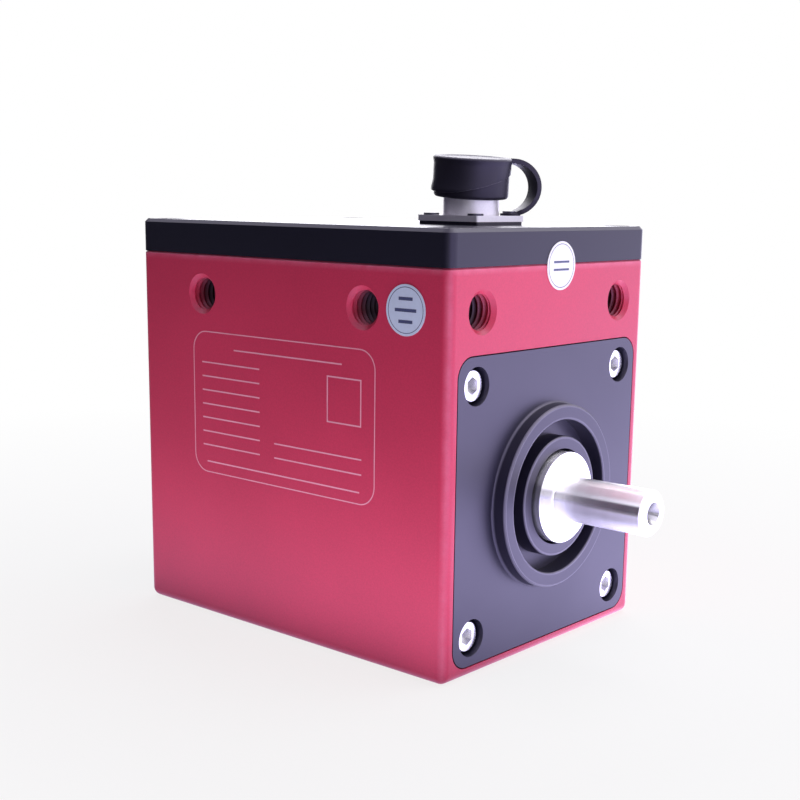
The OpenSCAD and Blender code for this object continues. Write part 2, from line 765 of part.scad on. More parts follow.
module at_disc_screws() {
    along_shaft(disc_x) for (i = [0 : disc_screw_n - 1]) rotate([0, 0, i * 360 / disc_screw_n])
        translate([disc_screw_r, 0, 0]) children();
}

module disc_hub() {
    color(nickel) difference() {
        shaft_ring(seat_d / 2 + fit_gap, disc_hub_d / 2, -ring_x, disc_x);
        at_disc_screws() translate([0, 0, -disc_screw_l - over]) cylinder(d = small_tap_d, h = disc_hub_w);
    }
}

module speed_disc() {
    slot_w = PI * (disc_d - slot_l) / disc_slots / 2;
    color(polished_steel) difference() {
        shaft_ring(seat_d / 2 + fit_gap, disc_r, disc_x, disc_x + disc_t);
        at_disc_screws() cylinder(d = small_screw_d + screw_play, h = 4 * disc_t, center = true);
        along_shaft(disc_x) for (i = [0 : disc_slots - 1]) rotate([0, 0, i * 360 / disc_slots])
            translate([disc_r - slot_l, -slot_w / 2, -over])
                cube([slot_l + over, slot_w, disc_t + 2 * over]);
    }
}

module disc_screws() {
    color(polished_steel) translate([disc_t, 0, 0]) at_disc_screws()
        slotted_screw(small_screw_d, disc_screw_l + disc_t, small_head_d, small_head_h);
}

// Light fork that hangs through the floor of the bay over the edge of the disc
module speed_pickup() {
    fork_h = bay_floor + ear_t - fork_low;
    color(black_plastic) translate([fork_mid, 0, 0]) difference() {
        union() {
            translate([-fork_l / 2, -fork_w / 2, fork_low]) cube([fork_l, fork_w, fork_h]);
            translate([-fork_l / 2, -ear_l / 2, bay_floor]) cube([fork_l, ear_l, ear_t]);
        }
        translate([-fork_slot / 2, -fork_w, fork_low - over])
            cube([fork_slot, 2 * fork_w, fork_reach + fork_gap + over]);
        for (s = [-1, 1]) translate([0, s * ear_hole, bay_floor - over])
            cylinder(d = small_screw_d + screw_play, h = ear_t + 2 * over);
    }
}

module pickup_screws() {
    reach = ear_t + pickup_thread_l;
    color(polished_steel) translate([fork_mid, 0, bay_floor + ear_t]) for (s = [-1, 1])
        translate([0, s * ear_hole, 0]) slotted_screw(small_screw_d, reach, small_head_d, small_head_h);
}

// Signal board

module signal_board() {
    color(board_green) difference() {
        translate([0, 0, board_z]) linear_extrude(board_t) round_rect(board_l, board_w, standoff_inset / 2);
        translate([0, 0, board_z - over]) at_corners(standoff_x, standoff_y)
            cylinder(d = board_screw_d + screw_play, h = board_t + 2 * over);
    }
}

module board_standoffs() {
    color(nickel) translate([0, 0, bay_floor]) at_corners(standoff_x, standoff_y) difference() {
        union() {
            cylinder(d = standoff_d, h = standoff_h, $fn = 6);
            translate([0, 0, -board_screw_l + over]) cylinder(d = board_screw_d, h = board_screw_l);
        }
        translate([0, 0, standoff_h - board_screw_l]) cylinder(d = board_tap_d, h = board_screw_l + over);
    }
}

module board_screws() {
    color(polished_steel) translate([0, 0, board_z + board_t]) at_corners(standoff_x, standoff_y)
        slotted_screw(board_screw_d, board_t + board_screw_l - over, standoff_d - over, 2 * small_head_h);
}

// Processor, amplifier, converter and two round capacitors
module board_chips() {
    color(black_plastic) translate([0, 0, board_z + board_t]) {
        translate([-board_l / 5, 0, 0]) linear_extrude(chip_h) square(processor_w, center = true);
        for (s = [-1, 1]) translate([0, s * board_w / 4, 0]) {
            translate([board_l / 12, 0, 0]) linear_extrude(chip_h)
                square([amplifier_l, amplifier_w], center = true);
            translate([-board_l * 3 / 8, 0, 0]) cylinder(d = capacitor_d, h = 3 * chip_h);
        }
    }
}

module board_header() {
    color(black_plastic) translate([connector_x - header_h / 2, -pin_circle_d, header_z])
        cube([header_h, 2 * pin_circle_d, header_h]);
}

// Lead from a pin of the connector to its place on the header
module connector_leads() {
    lead_d = pin_d * 0.9;
    top = tail_z - 1;
    low = header_z + header_h;
    color(copper) for (i = [0 : pin_n - 1]) {
        a = pin_angle(i);
        from = [connector_x + pin_circle_d / 2 * cos(a), pin_circle_d / 2 * sin(a), top - fit_gap];
        to = [connector_x, (i - (pin_n - 1) / 2) * pin_circle_d * 1.6 / pin_n, low + lead_d / 2];
        way = from - to;
        translate(to) rotate([0, acos(way[2] / norm(way)), atan2(way[1], way[0])])
            cylinder(d = lead_d, h = norm(way) - lead_d / 2);
    }
}

// Connector

// Angle of contact pin i, counted so that each lead runs to the nearest place on the header
function pin_angle(i) = -90 + (i % 2 == 0 ? 1 : -1) * i * 180 / pin_n + (i % 2 == 0 ? 0 : -180 / pin_n);

module connector_shell() {
    r = barrel_d / 2;
    color(nickel) translate([connector_x, 0, 0]) {
        difference() {
            union() {
                translate([0, 0, flange_z]) linear_extrude(flange_t)
                    round_rect(flange_w, flange_w, flange_r);
                translate([0, 0, tail_z]) cylinder(d = tail_d, h = flange_z - tail_z + over);
                translate([0, 0, barrel_z - over]) cylinder(r = r, h = barrel_h + over);
            }
            translate([0, 0, tail_z - over]) cylinder(r = tail_r, h = barrel_top - tail_z);
            translate([0, 0, flange_z]) cylinder(r = bore_r, h = barrel_top - flange_z + over);
            translate([0, 0, barrel_top]) mouth_chamfer(bore_r);
            translate([0, 0, flange_z - over]) at_corners(flange_pitch / 2, flange_pitch / 2)
                cylinder(d = small_screw_d + screw_play, h = flange_t + 2 * over);
        }
        // key that turns the plug the right way
        translate([-pin_d / 2, bore_r - pin_d / 2, insert_z])
            cube([pin_d, pin_d / 2 + over, socket_depth - pin_d]);
    }
}

module at_pins() {
    translate([connector_x, 0, 0]) for (i = [0 : pin_n - 1]) rotate([0, 0, pin_angle(i)])
        translate([pin_circle_d / 2, 0, 0]) children();
}

module connector_insert() {
    top = insert_z - fit_gap;
    low = flange_z + fit_gap;
    color(black_plastic) difference() {
        translate([connector_x, 0, 0]) {
            translate([0, 0, tail_z]) cylinder(r = tail_r - fit_gap, h = top - tail_z);
            translate([0, 0, low]) cylinder(r = bore_r - fit_gap, h = top - low);
        }
        at_pins() translate([0, 0, tail_z - over]) cylinder(d = pin_d + 2 * fit_gap, h = insert_z);
    }
}

module connector_pins() {
    tip = pin_d / 3;
    color(nickel) at_pins() {
        translate([0, 0, tail_z - 1]) cylinder(d = pin_d, h = insert_z + pin_h - tail_z + 1 - tip);
        translate([0, 0, insert_z + pin_h - tip]) cylinder(d1 = pin_d, d2 = pin_d - tip, h = tip);
    }
}

module connector_gasket() {
    color(black_rubber) translate([connector_x, 0, lid_top]) linear_extrude(gasket_t) difference() {
        round_rect(flange_w - 2 * over, flange_w - 2 * over, flange_r);
        circle(d = tail_d + 2 * screw_play);
        at_corners(flange_pitch / 2, flange_pitch / 2) circle(d = small_screw_d + screw_play);
    }
}

// The screw at the strap's corner sits on the eyelet, one eyelet thickness higher
module connector_screws() {
    reach = flange_t + gasket_t + lid_t / 3;
    color(black_plastic) translate([connector_x, 0, barrel_z]) for (sx = [-1, 1], sy = [-1, 1]) {
        lift = sx > 0 && sy > 0 ? eyelet_t : 0;
        translate([sx * flange_pitch / 2, sy * flange_pitch / 2, lift])
            slotted_screw(small_screw_d, reach + lift, small_head_d, small_head_h);
    }
}

// Dust cap

module dust_cap() {
    inner_r = barrel_d / 2 + cap_gap;
    edge = cap_rim_h / 4;
    color(black_rubber) translate([connector_x, 0, 0]) rotate_extrude() polygon([
        [inner_r, cap_z], [cap_d / 2 - 2 * over, cap_z], [cap_d / 2 - over, cap_z + over],
        [cap_d / 2 - over, cap_z + cap_skirt_h], [cap_d / 2, cap_z + cap_skirt_h + over],
        [cap_d / 2, cap_top - cap_rim_h - edge], [cap_rim_d / 2, cap_top - cap_rim_h],
        [cap_rim_d / 2, cap_top - edge], [cap_rim_d / 2 - edge, cap_top], [0, cap_top],
        [0, cap_top - cap_top_t], [inner_r, cap_top - cap_top_t]]);
}

// Strap that loops from the rim of the cap down to an eyelet under a flange screw
module cap_strap() {
    root_x = cap_rim_d / 2 + run_gap / 2;
    color(black_rubber) translate([connector_x, 0, 0]) rotate([0, 0, strap_angle]) difference() {
        union() {
            translate([loop_x, 0, loop_z]) rotate([90, 0, 0]) rotate([0, 0, -90])
                rotate_extrude(angle = 180) translate([loop_r - strap_t / 2, -strap_w / 2])
                    square([strap_t, strap_w]);
            translate([root_x, -strap_w / 2, strap_high - strap_t / 2])
                cube([loop_x - root_x, strap_w, strap_t]);
            translate([eyelet_x, -strap_w / 2, barrel_z]) cube([loop_x - eyelet_x, strap_w, eyelet_t]);
            translate([eyelet_x, 0, barrel_z]) cylinder(d = eyelet_d, h = eyelet_t);
        }
        translate([eyelet_x, 0, barrel_z - over])
            cylinder(d = small_screw_d + screw_play, h = eyelet_t + 2 * over);
        translate([eyelet_x, 0, barrel_z + eyelet_t]) cylinder(d = small_head_d + 4 * screw_play, h = strap_t);
    }
}

housing();
lid();
lid_screws();
front_end_plate();
rear_end_plate();
front_plate_screws();
rear_plate_screws();
front_bearing_outer_ring();
front_bearing_inner_ring();
front_bearing_balls();
front_bearing_cage();
rear_bearing_outer_ring();
rear_bearing_inner_ring();
rear_bearing_balls();
rear_bearing_cage();
preload_washer();
torsion_shaft();
strain_gauges();
rotor_board();
power_rotor_core();
power_rotor_coil();
power_stator_core();
power_stator_coil();
signal_rotor_core();
signal_rotor_coil();
signal_stator_core();
signal_stator_coil();
disc_hub();
speed_disc();
disc_screws();
speed_pickup();
pickup_screws();
signal_board();
board_standoffs();
board_screws();
board_chips();
board_header();
connector_leads();
connector_shell();
connector_insert();
connector_pins();
connector_gasket();
connector_screws();
dust_cap();
cap_strap();
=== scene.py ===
"""Dresses the rotary torque sensor: finishes, threads, dust cap, strap, marking, stickers and a studio."""

import json
import math

import bmesh
import bpy
from bpy.props import FloatProperty, FloatVectorProperty, IntProperty, PointerProperty
from mathutils import Matrix, Vector


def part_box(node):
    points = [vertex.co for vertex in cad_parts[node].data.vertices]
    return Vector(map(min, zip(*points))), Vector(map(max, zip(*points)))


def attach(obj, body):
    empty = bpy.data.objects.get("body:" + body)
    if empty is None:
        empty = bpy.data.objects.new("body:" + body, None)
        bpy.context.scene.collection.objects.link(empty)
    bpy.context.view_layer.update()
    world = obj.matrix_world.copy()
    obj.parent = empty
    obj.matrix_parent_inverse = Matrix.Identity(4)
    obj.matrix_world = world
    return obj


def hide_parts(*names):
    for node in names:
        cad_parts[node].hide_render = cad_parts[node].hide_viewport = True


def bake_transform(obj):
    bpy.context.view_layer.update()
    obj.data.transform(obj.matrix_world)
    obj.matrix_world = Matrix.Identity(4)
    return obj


bl_info = {
    "name": "Torque Sensor Finish",
    "version": (1, 0, 0),
    "blender": (4, 5, 0),
    "location": "View3D > Sidebar > Torque Sensor",
    "description": "Finishes, threads, dust cap, strap, marking, stickers and studio of the torque sensor",
    "category": "Object",
}

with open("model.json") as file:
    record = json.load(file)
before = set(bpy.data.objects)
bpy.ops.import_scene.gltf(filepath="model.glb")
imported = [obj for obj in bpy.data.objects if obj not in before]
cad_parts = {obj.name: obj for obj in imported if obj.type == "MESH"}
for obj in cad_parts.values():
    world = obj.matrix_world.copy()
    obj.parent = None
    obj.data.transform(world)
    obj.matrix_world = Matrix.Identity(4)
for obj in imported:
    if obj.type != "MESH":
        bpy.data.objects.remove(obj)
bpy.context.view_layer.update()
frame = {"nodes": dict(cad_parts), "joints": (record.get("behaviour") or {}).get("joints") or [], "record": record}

MM = 0.001
BODY = "sensor_body"
CAP = "cap"
HOUSING_LOW, HOUSING_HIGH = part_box("housing")
CAP_LOW, CAP_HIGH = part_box("dust_cap")
CAP_RIM = (CAP_HIGH.x - CAP_LOW.x) / 2
CONNECTOR = Vector(((CAP_LOW.x + CAP_HIGH.x) / 2, (CAP_LOW.y + CAP_HIGH.y) / 2, 0))
SHELL_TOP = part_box("connector_shell")[1].z
BOSS_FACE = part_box("front_end_plate")[1].x
MOUNTS = {mount["name"]: mount for mount in frame["record"]["mounts"]}
SHAFT_HEIGHT = next(joint["pos_m"][2] for joint in frame["joints"] if joint["name"] == "shaft_spin")

# Radii of the boss, the groove and the hub of an end plate, whose edges get a painted highlight, and of the
# shaft's centre holes, which get painted shade
BOSS_EDGES = (18.2 * MM, 15.75 * MM, 11.85 * MM)
CENTRE_HOLE = 2.25 * MM

# Half widths of a thread ridge at its foot and its crest, as shares of the pitch
RIDGE_FOOT, RIDGE_CREST = 0.44, 0.06
SIDE_HOLE_DEPTH = 9 * MM
BARREL_RADIUS = 5.7 * MM

# Faces round a mounting thread, its lead-in cone, the barrel thread and the strap's eyelet
HOLE_STEPS, CONE_STEPS, BARREL_STEPS, EYELET_STEPS = 32, 48, 48, 40

# The axis about which pieces are turned, and the distance within which two points are one
UPRIGHT = {"cent": (0, 0, 0), "axis": (0, 0, 1)}
DOUBLED = 1e-7

# The axis about which the cap leans, and the direction and slope of its sleeve's slanting edge
CAP_LEAN_AXIS = Vector((0.43, 0.9, 0))
SLEEVE_HEADING = math.radians(73)
SLEEVE_SLOPE = 0.28

# The strap's level under the cap's top, the depth of its root in the rim, and its steps
STRAP_DROP = 0.75 * MM
STRAP_BITE = 0.6 * MM
STRAIGHT_STEPS, BEND_STEPS = 3, 28

# Where the strap begins to lead to its screw and the length of that lead, as shares of its steps
LEAD_START, LEAD_SPAN = 0.7, 0.25
STRAP_NARROWING = 0.25

# The flange screw that holds the eyelet: its direction and its distance from the connector's axis
SCREW_HEADING = math.radians(45)
SCREW_REACH = 5.7 * MM * math.sqrt(2)
EYELET_THICKNESS = 0.49 * MM
EYELET_BORE, EYELET_RADIUS = 1.15 * MM, 2.1 * MM

# Line and spacing of the ruled rows, height of the marking, and the ring printed on a sticker
ROW_LINE, ROW_PITCH = 0.28 * MM, 2.95 * MM
MARKING_FILM = 0.015 * MM
RING_MARGIN, RING_LINE = 0.45 * MM, 0.14 * MM
INK_FILM = 0.02 * MM

# The angle from which edges are shaded sharp, and the one from which the strap's edges are rounded
SHARP_ANGLE = math.radians(35)
STRAP_EDGE_ANGLE = 1.2

# The range that the noise textures fill
NOISE_RANGE = (0.3, 0.7)

# Gradients, here and in the studio: where they begin and end, and the value at each
# Painted shade in holes and in screw sockets, by depth
HOLE_SHADE = (1.2 * MM, 5.0 * MM, 0.0, 0.95)
SOCKET_SHADE = (0.2 * MM, 1.0 * MM, 0.0, 0.28)
# The band of the painted highlight along the end plates' boss, groove and hub edges
RIM_HIGHLIGHT_BAND = (0.12 * MM, 0.3 * MM, 1.0, 0.0)
BOSS_STEP = (BOSS_FACE - 0.5 * MM, BOSS_FACE - 0.4 * MM, 0.0, 1.0)

# Colours and grain that finishes share, and what the bright screws hold
WHITE = (1.0, 1.0, 1.0, 1.0)
OXIDE_SHEEN = (0.85, 0.78, 1.0, 1.0)
COPPER = (0.62, 0.26, 0.1)
RUBBER_GRAIN = {"contrast": 0.2, "grain": 4500.0, "cloud": 150.0, "depth": 8e-6}
FILM_GRAIN = {"grain": 1500.0, "cloud": 200.0}
BRIGHT_SCREWS = ("front_plate", "rear_plate", "disc", "pickup", "board")

# Finishes of the pieces inside: name, colour, roughness, other settings, and the nodes that carry it
MOULDED = ("speed_pickup", "board_chips", "board_header", "connector_insert")
CORES = ("power_rotor_core", "power_stator_core", "signal_rotor_core", "signal_stator_core")
BOARDS = ("signal_board", "rotor_board")
FERRITE_GRAIN = {"contrast": 0.25, "grain": 2500.0, "depth": 8e-6}
BOARD_GRAIN = {"contrast": 0.3, "grain": 900.0, "cloud": 160.0}
GAUGE_GRAIN = {"contrast": 0.2, "grain": 2000.0, "cloud": 400.0}
INSIDE_FINISHES = (
    ("Black moulding", (0.02, 0.02, 0.022), 0.5, {"grain": 3500.0, "cloud": 100.0}, MOULDED),
    ("Sintered ferrite", (0.045, 0.043, 0.046), 0.6, FERRITE_GRAIN, CORES),
    ("Copper leads", COPPER, 0.3, {"Metallic": 1.0}, ("connector_leads",)),
    ("Circuit board", (0.012, 0.11, 0.04), 0.4, BOARD_GRAIN, BOARDS),
    ("Gauge film", (0.6, 0.3, 0.05), 0.35, GAUGE_GRAIN, ("strain_gauges",)),
)

# Each softbox: its name, its power setting, its place, the point it looks at, and its size in metres
SOFTBOXES = (
    ("right_softbox", "right_power", (0.55, 0.25, 0.4), (0.043, 0, 0.035), 0.45),
    ("front_softbox", "front_power", (0.24, -0.42, 0.1), (0, -0.032, 0.02), 0.16),
    ("top_softbox", "top_power", (0.1, 0.4, 0.9), (0, 0, 0.05), 0.7),
    ("back_panel", "back_power", (-0.9, 1.05, 0.3), (0, 0, 0.05), 1.2),
)

# The floor: its side in metres, its depth under the sensor, and its colour
FLOOR_SIZE = 8.0
FLOOR_DROP = 0.05 * MM
FLOOR_COLOUR = (0.86, 0.85, 0.87, 1.0)

# The floor's share of glow: for the light on the sensor, and as the camera sees it, by distance
GLOW_SHARE, SEEN_GLOW_SHARE = 0.7, (0.1, 0.3, 0.8, 1.0)

# The floor's glow in reflections, and as light, from the dark front left to the bright right
MIRRORED_FRONT = (-0.16, -0.07, 0.04, 1.0)
MIRRORED_RISE, MIRRORED_FALL = (0.0, 0.08, 0.0, 3.2), (0.1, 0.35, 3.2, 1.8)
LIT_RIGHT = (0.0, 0.05, 0.0, 2.3)
MIRRORED_TINT, LIT_TINT = (0.98, 0.93, 1.42, 1.0), (0.98, 0.93, 1.16, 1.0)

# The lit strip before the long side: its far edge, its near edge, and its growth along the shaft
STRIP_FAR, STRIP_NEAR = (-0.105, -0.07, 0.0, 1.0), (-0.056, -0.0375, 1.0, 0.1)
STRIP_ALONG = (-0.03, 0.05, 4.1, 5.6)

# The room in reflections: its walls and its roof from dark to bright, and the way to the bright side
WALL_GLOW, ROOF_GLOW = (-0.35, 0.1, 0.0, 1.0), (0.46, 0.6, 0.0, 1.0)
ROOM_DARK, ROOM_BRIGHT = (0.04, 0.036, 0.065, 1.0), (1.9, 1.84, 2.15, 1.0)
BRIGHT_WAY = (0.64, 0.77)

# The photograph's camera: its eye, its angles, and its lens and sensor in millimetres
CAMERA_EYE = (0.191477, -0.213479, 0.090436)
CAMERA_HEADING, CAMERA_RISE, CAMERA_ROLL = math.radians(40.487), math.radians(11.097), math.radians(0.875)
CAMERA_LENS, CAMERA_SENSOR = 59.143, 36
CAMERA_SHIFT_X, CAMERA_SHIFT_Y = -0.025, 0.06875
CAMERA_NEAR = 0.01


def length(name, description, millimetres):
    """A length property, given in millimetres and kept in metres."""
    metres = millimetres * MM
    return FloatProperty(name=name, description=description, default=metres, unit="LENGTH", precision=5)


def angle(name, description, degrees):
    """An angle property, given in degrees and kept in radians."""
    return FloatProperty(name=name, description=description, default=math.radians(degrees), subtype="ANGLE")


def power(name, description, watts):
    """The power of a light."""
    return FloatProperty(name=name, description=description, default=watts, unit="POWER")


def tint(name, description, colour):
    """A colour property in linear red, green and blue."""
    return FloatVectorProperty(
        name=name, description=description, default=colour, size=3, subtype="COLOR", min=0, max=1
    )


class SensorSizes(bpy.types.PropertyGroup):
    """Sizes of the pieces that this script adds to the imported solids."""

    thread_pitch: length("Thread pitch", "Pitch of the mounting threads", 1.25)
    thread_height: length("Thread height", "Height of the mounting thread ridge", 0.66)
    thread_mouth: length("Thread start", "Depth of the lead-in cone before the mounting threads", 0.8)
    barrel_pitch: length("Barrel pitch", "Pitch of the connector thread", 0.75)
    barrel_height: length("Barrel ridge", "Height of the connector thread ridge", 0.1)
    cap_bore: length("Cap bore", "Radius of the bore of the cap", 6.2)
    cap_skirt: length("Cap skirt", "Radius of the skirt under the cap's sleeve", 7.6)
    cap_sleeve: length("Sleeve edge", "Distance from the cap's top to the sleeve's edge, on the axis", 4.75)
    cap_swell: length("Sleeve swell", "Radius of the cap's sleeve at its lowest edge", 8.2)
    cap_waist: length("Sleeve waist", "Radius of the cap's sleeve under its rim", 7.88)
    cap_tilt: angle("Cap tilt", "Lean of the loosely pressed cap", 4.9)
    strap_width: length("Strap width", "Width of the strap", 4.4)
    strap_thickness: length("Strap thickness", "Thickness of the strap", 0.95)
    strap_reach: length("Strap reach", "Distance of the strap's bend from the connector axis", 13.7)
    strap_heading: angle("Strap heading", "Direction in which the strap leaves the cap", 50)
    strap_twist: angle("Strap twist", "Turn of the strap's face at its bend", 12)
    frame_width: length("Marked frame width", "Width of the frame on the long side", 52.6)
    frame_height: length("Marked frame height", "Height of the frame on the long side", 30.3)
    frame_x: length("Marked frame place", "Middle of the marked frame along the shaft", -0.4)
    frame_z: length("Marked frame level", "Middle of the marked frame above the base", 47.0)
    frame_corner: length("Marked frame corner", "Corner radius of the marked frame", 4.0)
    frame_line: length("Marked line", "Line width of the marked frame", 0.22)
    sticker_size: length("Sticker size", "Diameter of the two round stickers", 9.5)
    sticker_thickness: length("Sticker thickness", "Thickness of the stickers", 0.12)
    sticker_x: length("Sticker place", "Middle of the inspection sticker along the shaft", 33.28)
    sticker_z: length("Sticker level", "Middle of the inspection sticker above the base", 70.17)
    seal_y: length("Seal place", "Middle of the seal across the shaft", 1.5)
    seal_z: length("Seal level", "Middle of the seal above the base", 77.7)


class SensorTints(bpy.types.PropertyGroup):
    """Colours of the finishes."""

    red: tint("Red anodising", "Dyed oxide of the housing", (0.59, 0.033, 0.086))
    # Lighter red on the housing's edges: wear and a painted highlight
    worn_and_highlit_red: tint("Worn and highlit red", "Red oxide along its rubbed edges", (0.84, 0.25, 0.38))
    black: tint("Black anodising", "Dyed oxide of the lid", (0.008, 0.008, 0.015))
    worn_black: tint("Worn black", "Black oxide along the lid's rubbed edges", (0.2, 0.19, 0.25))
    plate: tint("Black end plate", "Dyed oxide of the turned end plates", (0.012, 0.011, 0.024))
    # A painted highlight on the end plates' boss, groove and hub edges
    rubbed_and_highlit: tint("Rim highlight", "Black oxide on the rubbed edges of an end plate", (0.15, 0.142, 0.195))
    steel: tint("Polished steel", "Shaft and screws", (0.85, 0.84, 0.85))
    nickel: tint("Nickel", "Connector shell", (0.8, 0.775, 0.825))
    blackened: tint("Blackened steel", "Screws of the lid and of the flange", (0.07, 0.066, 0.09))
    rubber: tint("Rubber", "Cap, strap and gasket", (0.011, 0.01, 0.018))
    # A painted highlight on the rounded lip of the cap's sleeve
    lip: tint("Lip highlight", "Rubber at the rubbed edge of the cap's sleeve", (0.5, 0.48, 0.58))
    marking: tint("Marking", "Laser marking on the housing", (0.76, 0.34, 0.42))
    pale_blue: tint("Pale blue film", "Sticker on the long side", (0.62, 0.7, 0.84))
    white: tint("White film", "Seal over the lid seam", (0.86, 0.85, 0.88))
    ink: tint("Ink", "Print on the stickers", (0.06, 0.07, 0.16))


class SensorStudio(bpy.types.PropertyGroup):
    """Light of the studio, and how finely round pieces are turned."""

    right_power: power("Right light", "Power of the softbox at the shaft end", 0.8)
    front_power: power("Front light", "Power of the softbox before the long side", 0.06)
    top_power: power("Top light", "Power of the softbox above", 4.0)
    back_power: power("Back panel", "Power of the panel behind the sensor", 13.0)
    ambient: FloatProperty(name="Ambient", description="Strength of the room's own light", default=0.18)
    steps: IntProperty(name="Round steps", description="Faces round the cap", default=96, min=24, max=256)


# Meshes


def add_piece(name, builder, body, materials):
    """Turns a bmesh into a smooth-shaded piece that rides on a body."""
    mesh = bpy.data.meshes.new(name)
    builder.normal_update()
    builder.to_mesh(mesh)
    builder.free()
    for polygon in mesh.polygons:
        polygon.use_smooth = True
    mesh.set_sharp_from_angle(angle=SHARP_ANGLE)
    for material in materials:
        mesh.materials.append(material)
    piece = bpy.data.objects.new(name, mesh)
    bpy.context.scene.collection.objects.link(piece)
    if body:
        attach(piece, body)
    return piece


def close_mesh(builder):
    """Merges doubled points and points every face outwards."""
    bmesh.ops.remove_doubles(builder, verts=builder.verts[:], dist=DOUBLED)
    bmesh.ops.recalc_face_normals(builder, faces=builder.faces[:])


def round_off(builder, geom, offset, segments, affect):
    """Rounds vertices or edges, and gives the new faces."""
    return bmesh.ops.bevel(
        builder,
        geom=geom,
        offset=offset,
        offset_type="OFFSET",
        segments=segments,
        profile=0.5,
        affect=affect,
        clamp_overlap=affect == "EDGES",
        material=-1,
    )["faces"]


def extruded(builder, faces):
    """Extrudes faces, and gives the new faces and the new vertices."""
    made = bmesh.ops.extrude_face_region(builder, geom=faces)["geom"]
    verts = [item for item in made if isinstance(item, bmesh.types.BMVert)]
    return [item for item in made if isinstance(item, bmesh.types.BMFace)], verts


def flat_sheet(builder, width, height, middle=(0, 0, 0)):
    """A flat face that lies in the local XY plane, given as its vertices."""
    verts = bmesh.ops.create_grid(builder, x_segments=1, y_segments=1, size=0.5)["verts"]
    bmesh.ops.scale(builder, vec=(width, height, 1), verts=verts)
    bmesh.ops.translate(builder, vec=middle, verts=verts)
    return verts


def turned(outline, rounding, steps):
    """A piece turned about the upright axis from (radius, height, rounded) points."""
    builder = bmesh.new()
    verts = [builder.verts.new((radius, 0, height)) for radius, height, _ in outline]
    for start, end in zip(verts, verts[1:]):
        builder.edges.new((start, end))
    soft = [vert for vert, point in zip(verts, outline) if point[2]]
    round_off(builder, soft, rounding, 4, "VERTICES")
    line = builder.verts[:] + builder.edges[:]
    bmesh.ops.spin(builder, geom=line, angle=2 * math.pi, steps=steps, use_merge=True, **UPRIGHT)
    close_mesh(builder)
    return builder


def helix(builder, place, radius, height, pitch, turns, steps):
    """A thread ridge wound about the local Z of place. A negative height points to the axis."""
    foot, crest = pitch * RIDGE_FOOT, pitch * RIDGE_CREST
    tip = radius + height
    corners = [(radius, 0, -foot), (tip, 0, -crest), (tip, 0, crest), (radius, 0, foot)]
    before = set(builder.verts)
    verts = [builder.verts.new(corner) for corner in corners]
    face = builder.faces.new(verts)
    count = round(turns * steps)
    ridge = [face] + face.edges[:] + verts
    rise = (0, 0, pitch / steps)
    sweep = 2 * math.pi * count / steps
    bmesh.ops.spin(builder, geom=ridge, dvec=rise, angle=sweep, steps=count, **UPRIGHT)
    wound = [vert for vert in builder.verts if vert not in before]
    bmesh.ops.transform(builder, matrix=place, verts=wound)


def join(builder, other):
    """Moves another bmesh into a builder."""
    mesh = bpy.data.meshes.new("part")
    other.to_mesh(mesh)
    other.free()
    builder.from_mesh(mesh)
    bpy.data.meshes.remove(mesh)


def facing(point, direction):
    """Matrix that puts local Z along direction, at point."""
    turn = Vector(direction).to_track_quat("Z", "Y").to_matrix().to_4x4()
    return Matrix.Translation(point) @ turn


# Finishes


class NodeSheet:
    """Lays nodes out in one tree and joins them."""

    def __init__(self, tree):
        self.tree = tree

    def add(self, kind, inputs=None, **settings):
        """A new node with its settings, its inputs fed by numbers or by other nodes."""
        node = self.tree.nodes.new(kind)
        for key, value in settings.items():
            setattr(node, key, value)
        for socket, value in (inputs or {}).items():
            self.feed(node.inputs[socket], value)
        return node

    def feed(self, socket, value):
        """Joins an output to a socket, or sets the socket."""
        if isinstance(value, bpy.types.NodeSocket):
            self.tree.links.new(value, socket)
        else:
            socket.default_value = value

    def math(self, operation, *values):
        """The output of a Math node."""
        return self.add("ShaderNodeMath", dict(enumerate(values)), operation=operation).outputs[0]

    def spread(self, value, low, high, new_low, new_high):
        """A value mapped from one range to another, and kept inside it."""
        inputs = {"Value": value, "From Min": low, "From Max": high, "To Min": new_low, "To Max": new_high}
        return self.add("ShaderNodeMapRange", inputs).outputs["Result"]

    def even(self, noise, low, high):
        """Noise spread from the range that it fills to another."""
        return self.spread(noise, *NOISE_RANGE, low, high)

    def pick(self, mask, first, second):
        """A number between two numbers."""
        return self.add("ShaderNodeMix", {0: mask, 2: first, 3: second}).outputs[0]

    def blend(self, mask, first, second):
        """A colour between two colours."""
        return self.add("ShaderNodeMix", {0: mask, 6: first, 7: second}, data_type="RGBA").outputs[2]

    def half_and_half(self, first, second):
        """The mean of two numbers."""
        return self.math("ADD", self.math("MULTIPLY", first, 0.5), self.math("MULTIPLY", second, 0.5))

    def axes(self, place):
        """The X, Y and Z of a place."""
        return self.add("ShaderNodeSeparateXYZ", {"Vector": place}).outputs

    def own_place(self):
        """Each point's place in the object's own coordinates."""
        return self.add("ShaderNodeTexCoord").outputs["Object"]

    def noise(self, place, scale, detail):
        """The strength of a noise texture."""
        node = self.add("ShaderNodeTexNoise", {"Vector": place, "Scale": scale, "Detail": detail})
        return node.outputs["Fac"]


def node_group(name, inputs, outputs):
    """A new shader node group with float sockets, and its sheet, its inputs and its outputs."""
    tree = bpy.data.node_groups.new(name, "ShaderNodeTree")
    for way, sockets in (("INPUT", inputs), ("OUTPUT", outputs)):
        for socket in sockets:
            tree.interface.new_socket(socket, in_out=way, socket_type="NodeSocketFloat")
    sheet = NodeSheet(tree)
    return tree, sheet, sheet.add("NodeGroupInput").outputs, sheet.add("NodeGroupOutput").inputs


def surface_grain():
    """Fine grain of a blasted or moulded surface, and slow clouds across it."""
    tree, sheet, given, result = node_group("Surface grain", ("Grain", "Cloud"), ("Fine", "Clouds"))
    place = sheet.own_place()
    sheet.feed(result["Fine"], sheet.noise(place, given["Grain"], 3))
    sheet.feed(result["Clouds"], sheet.noise(place, given["Cloud"], 4))
    return tree


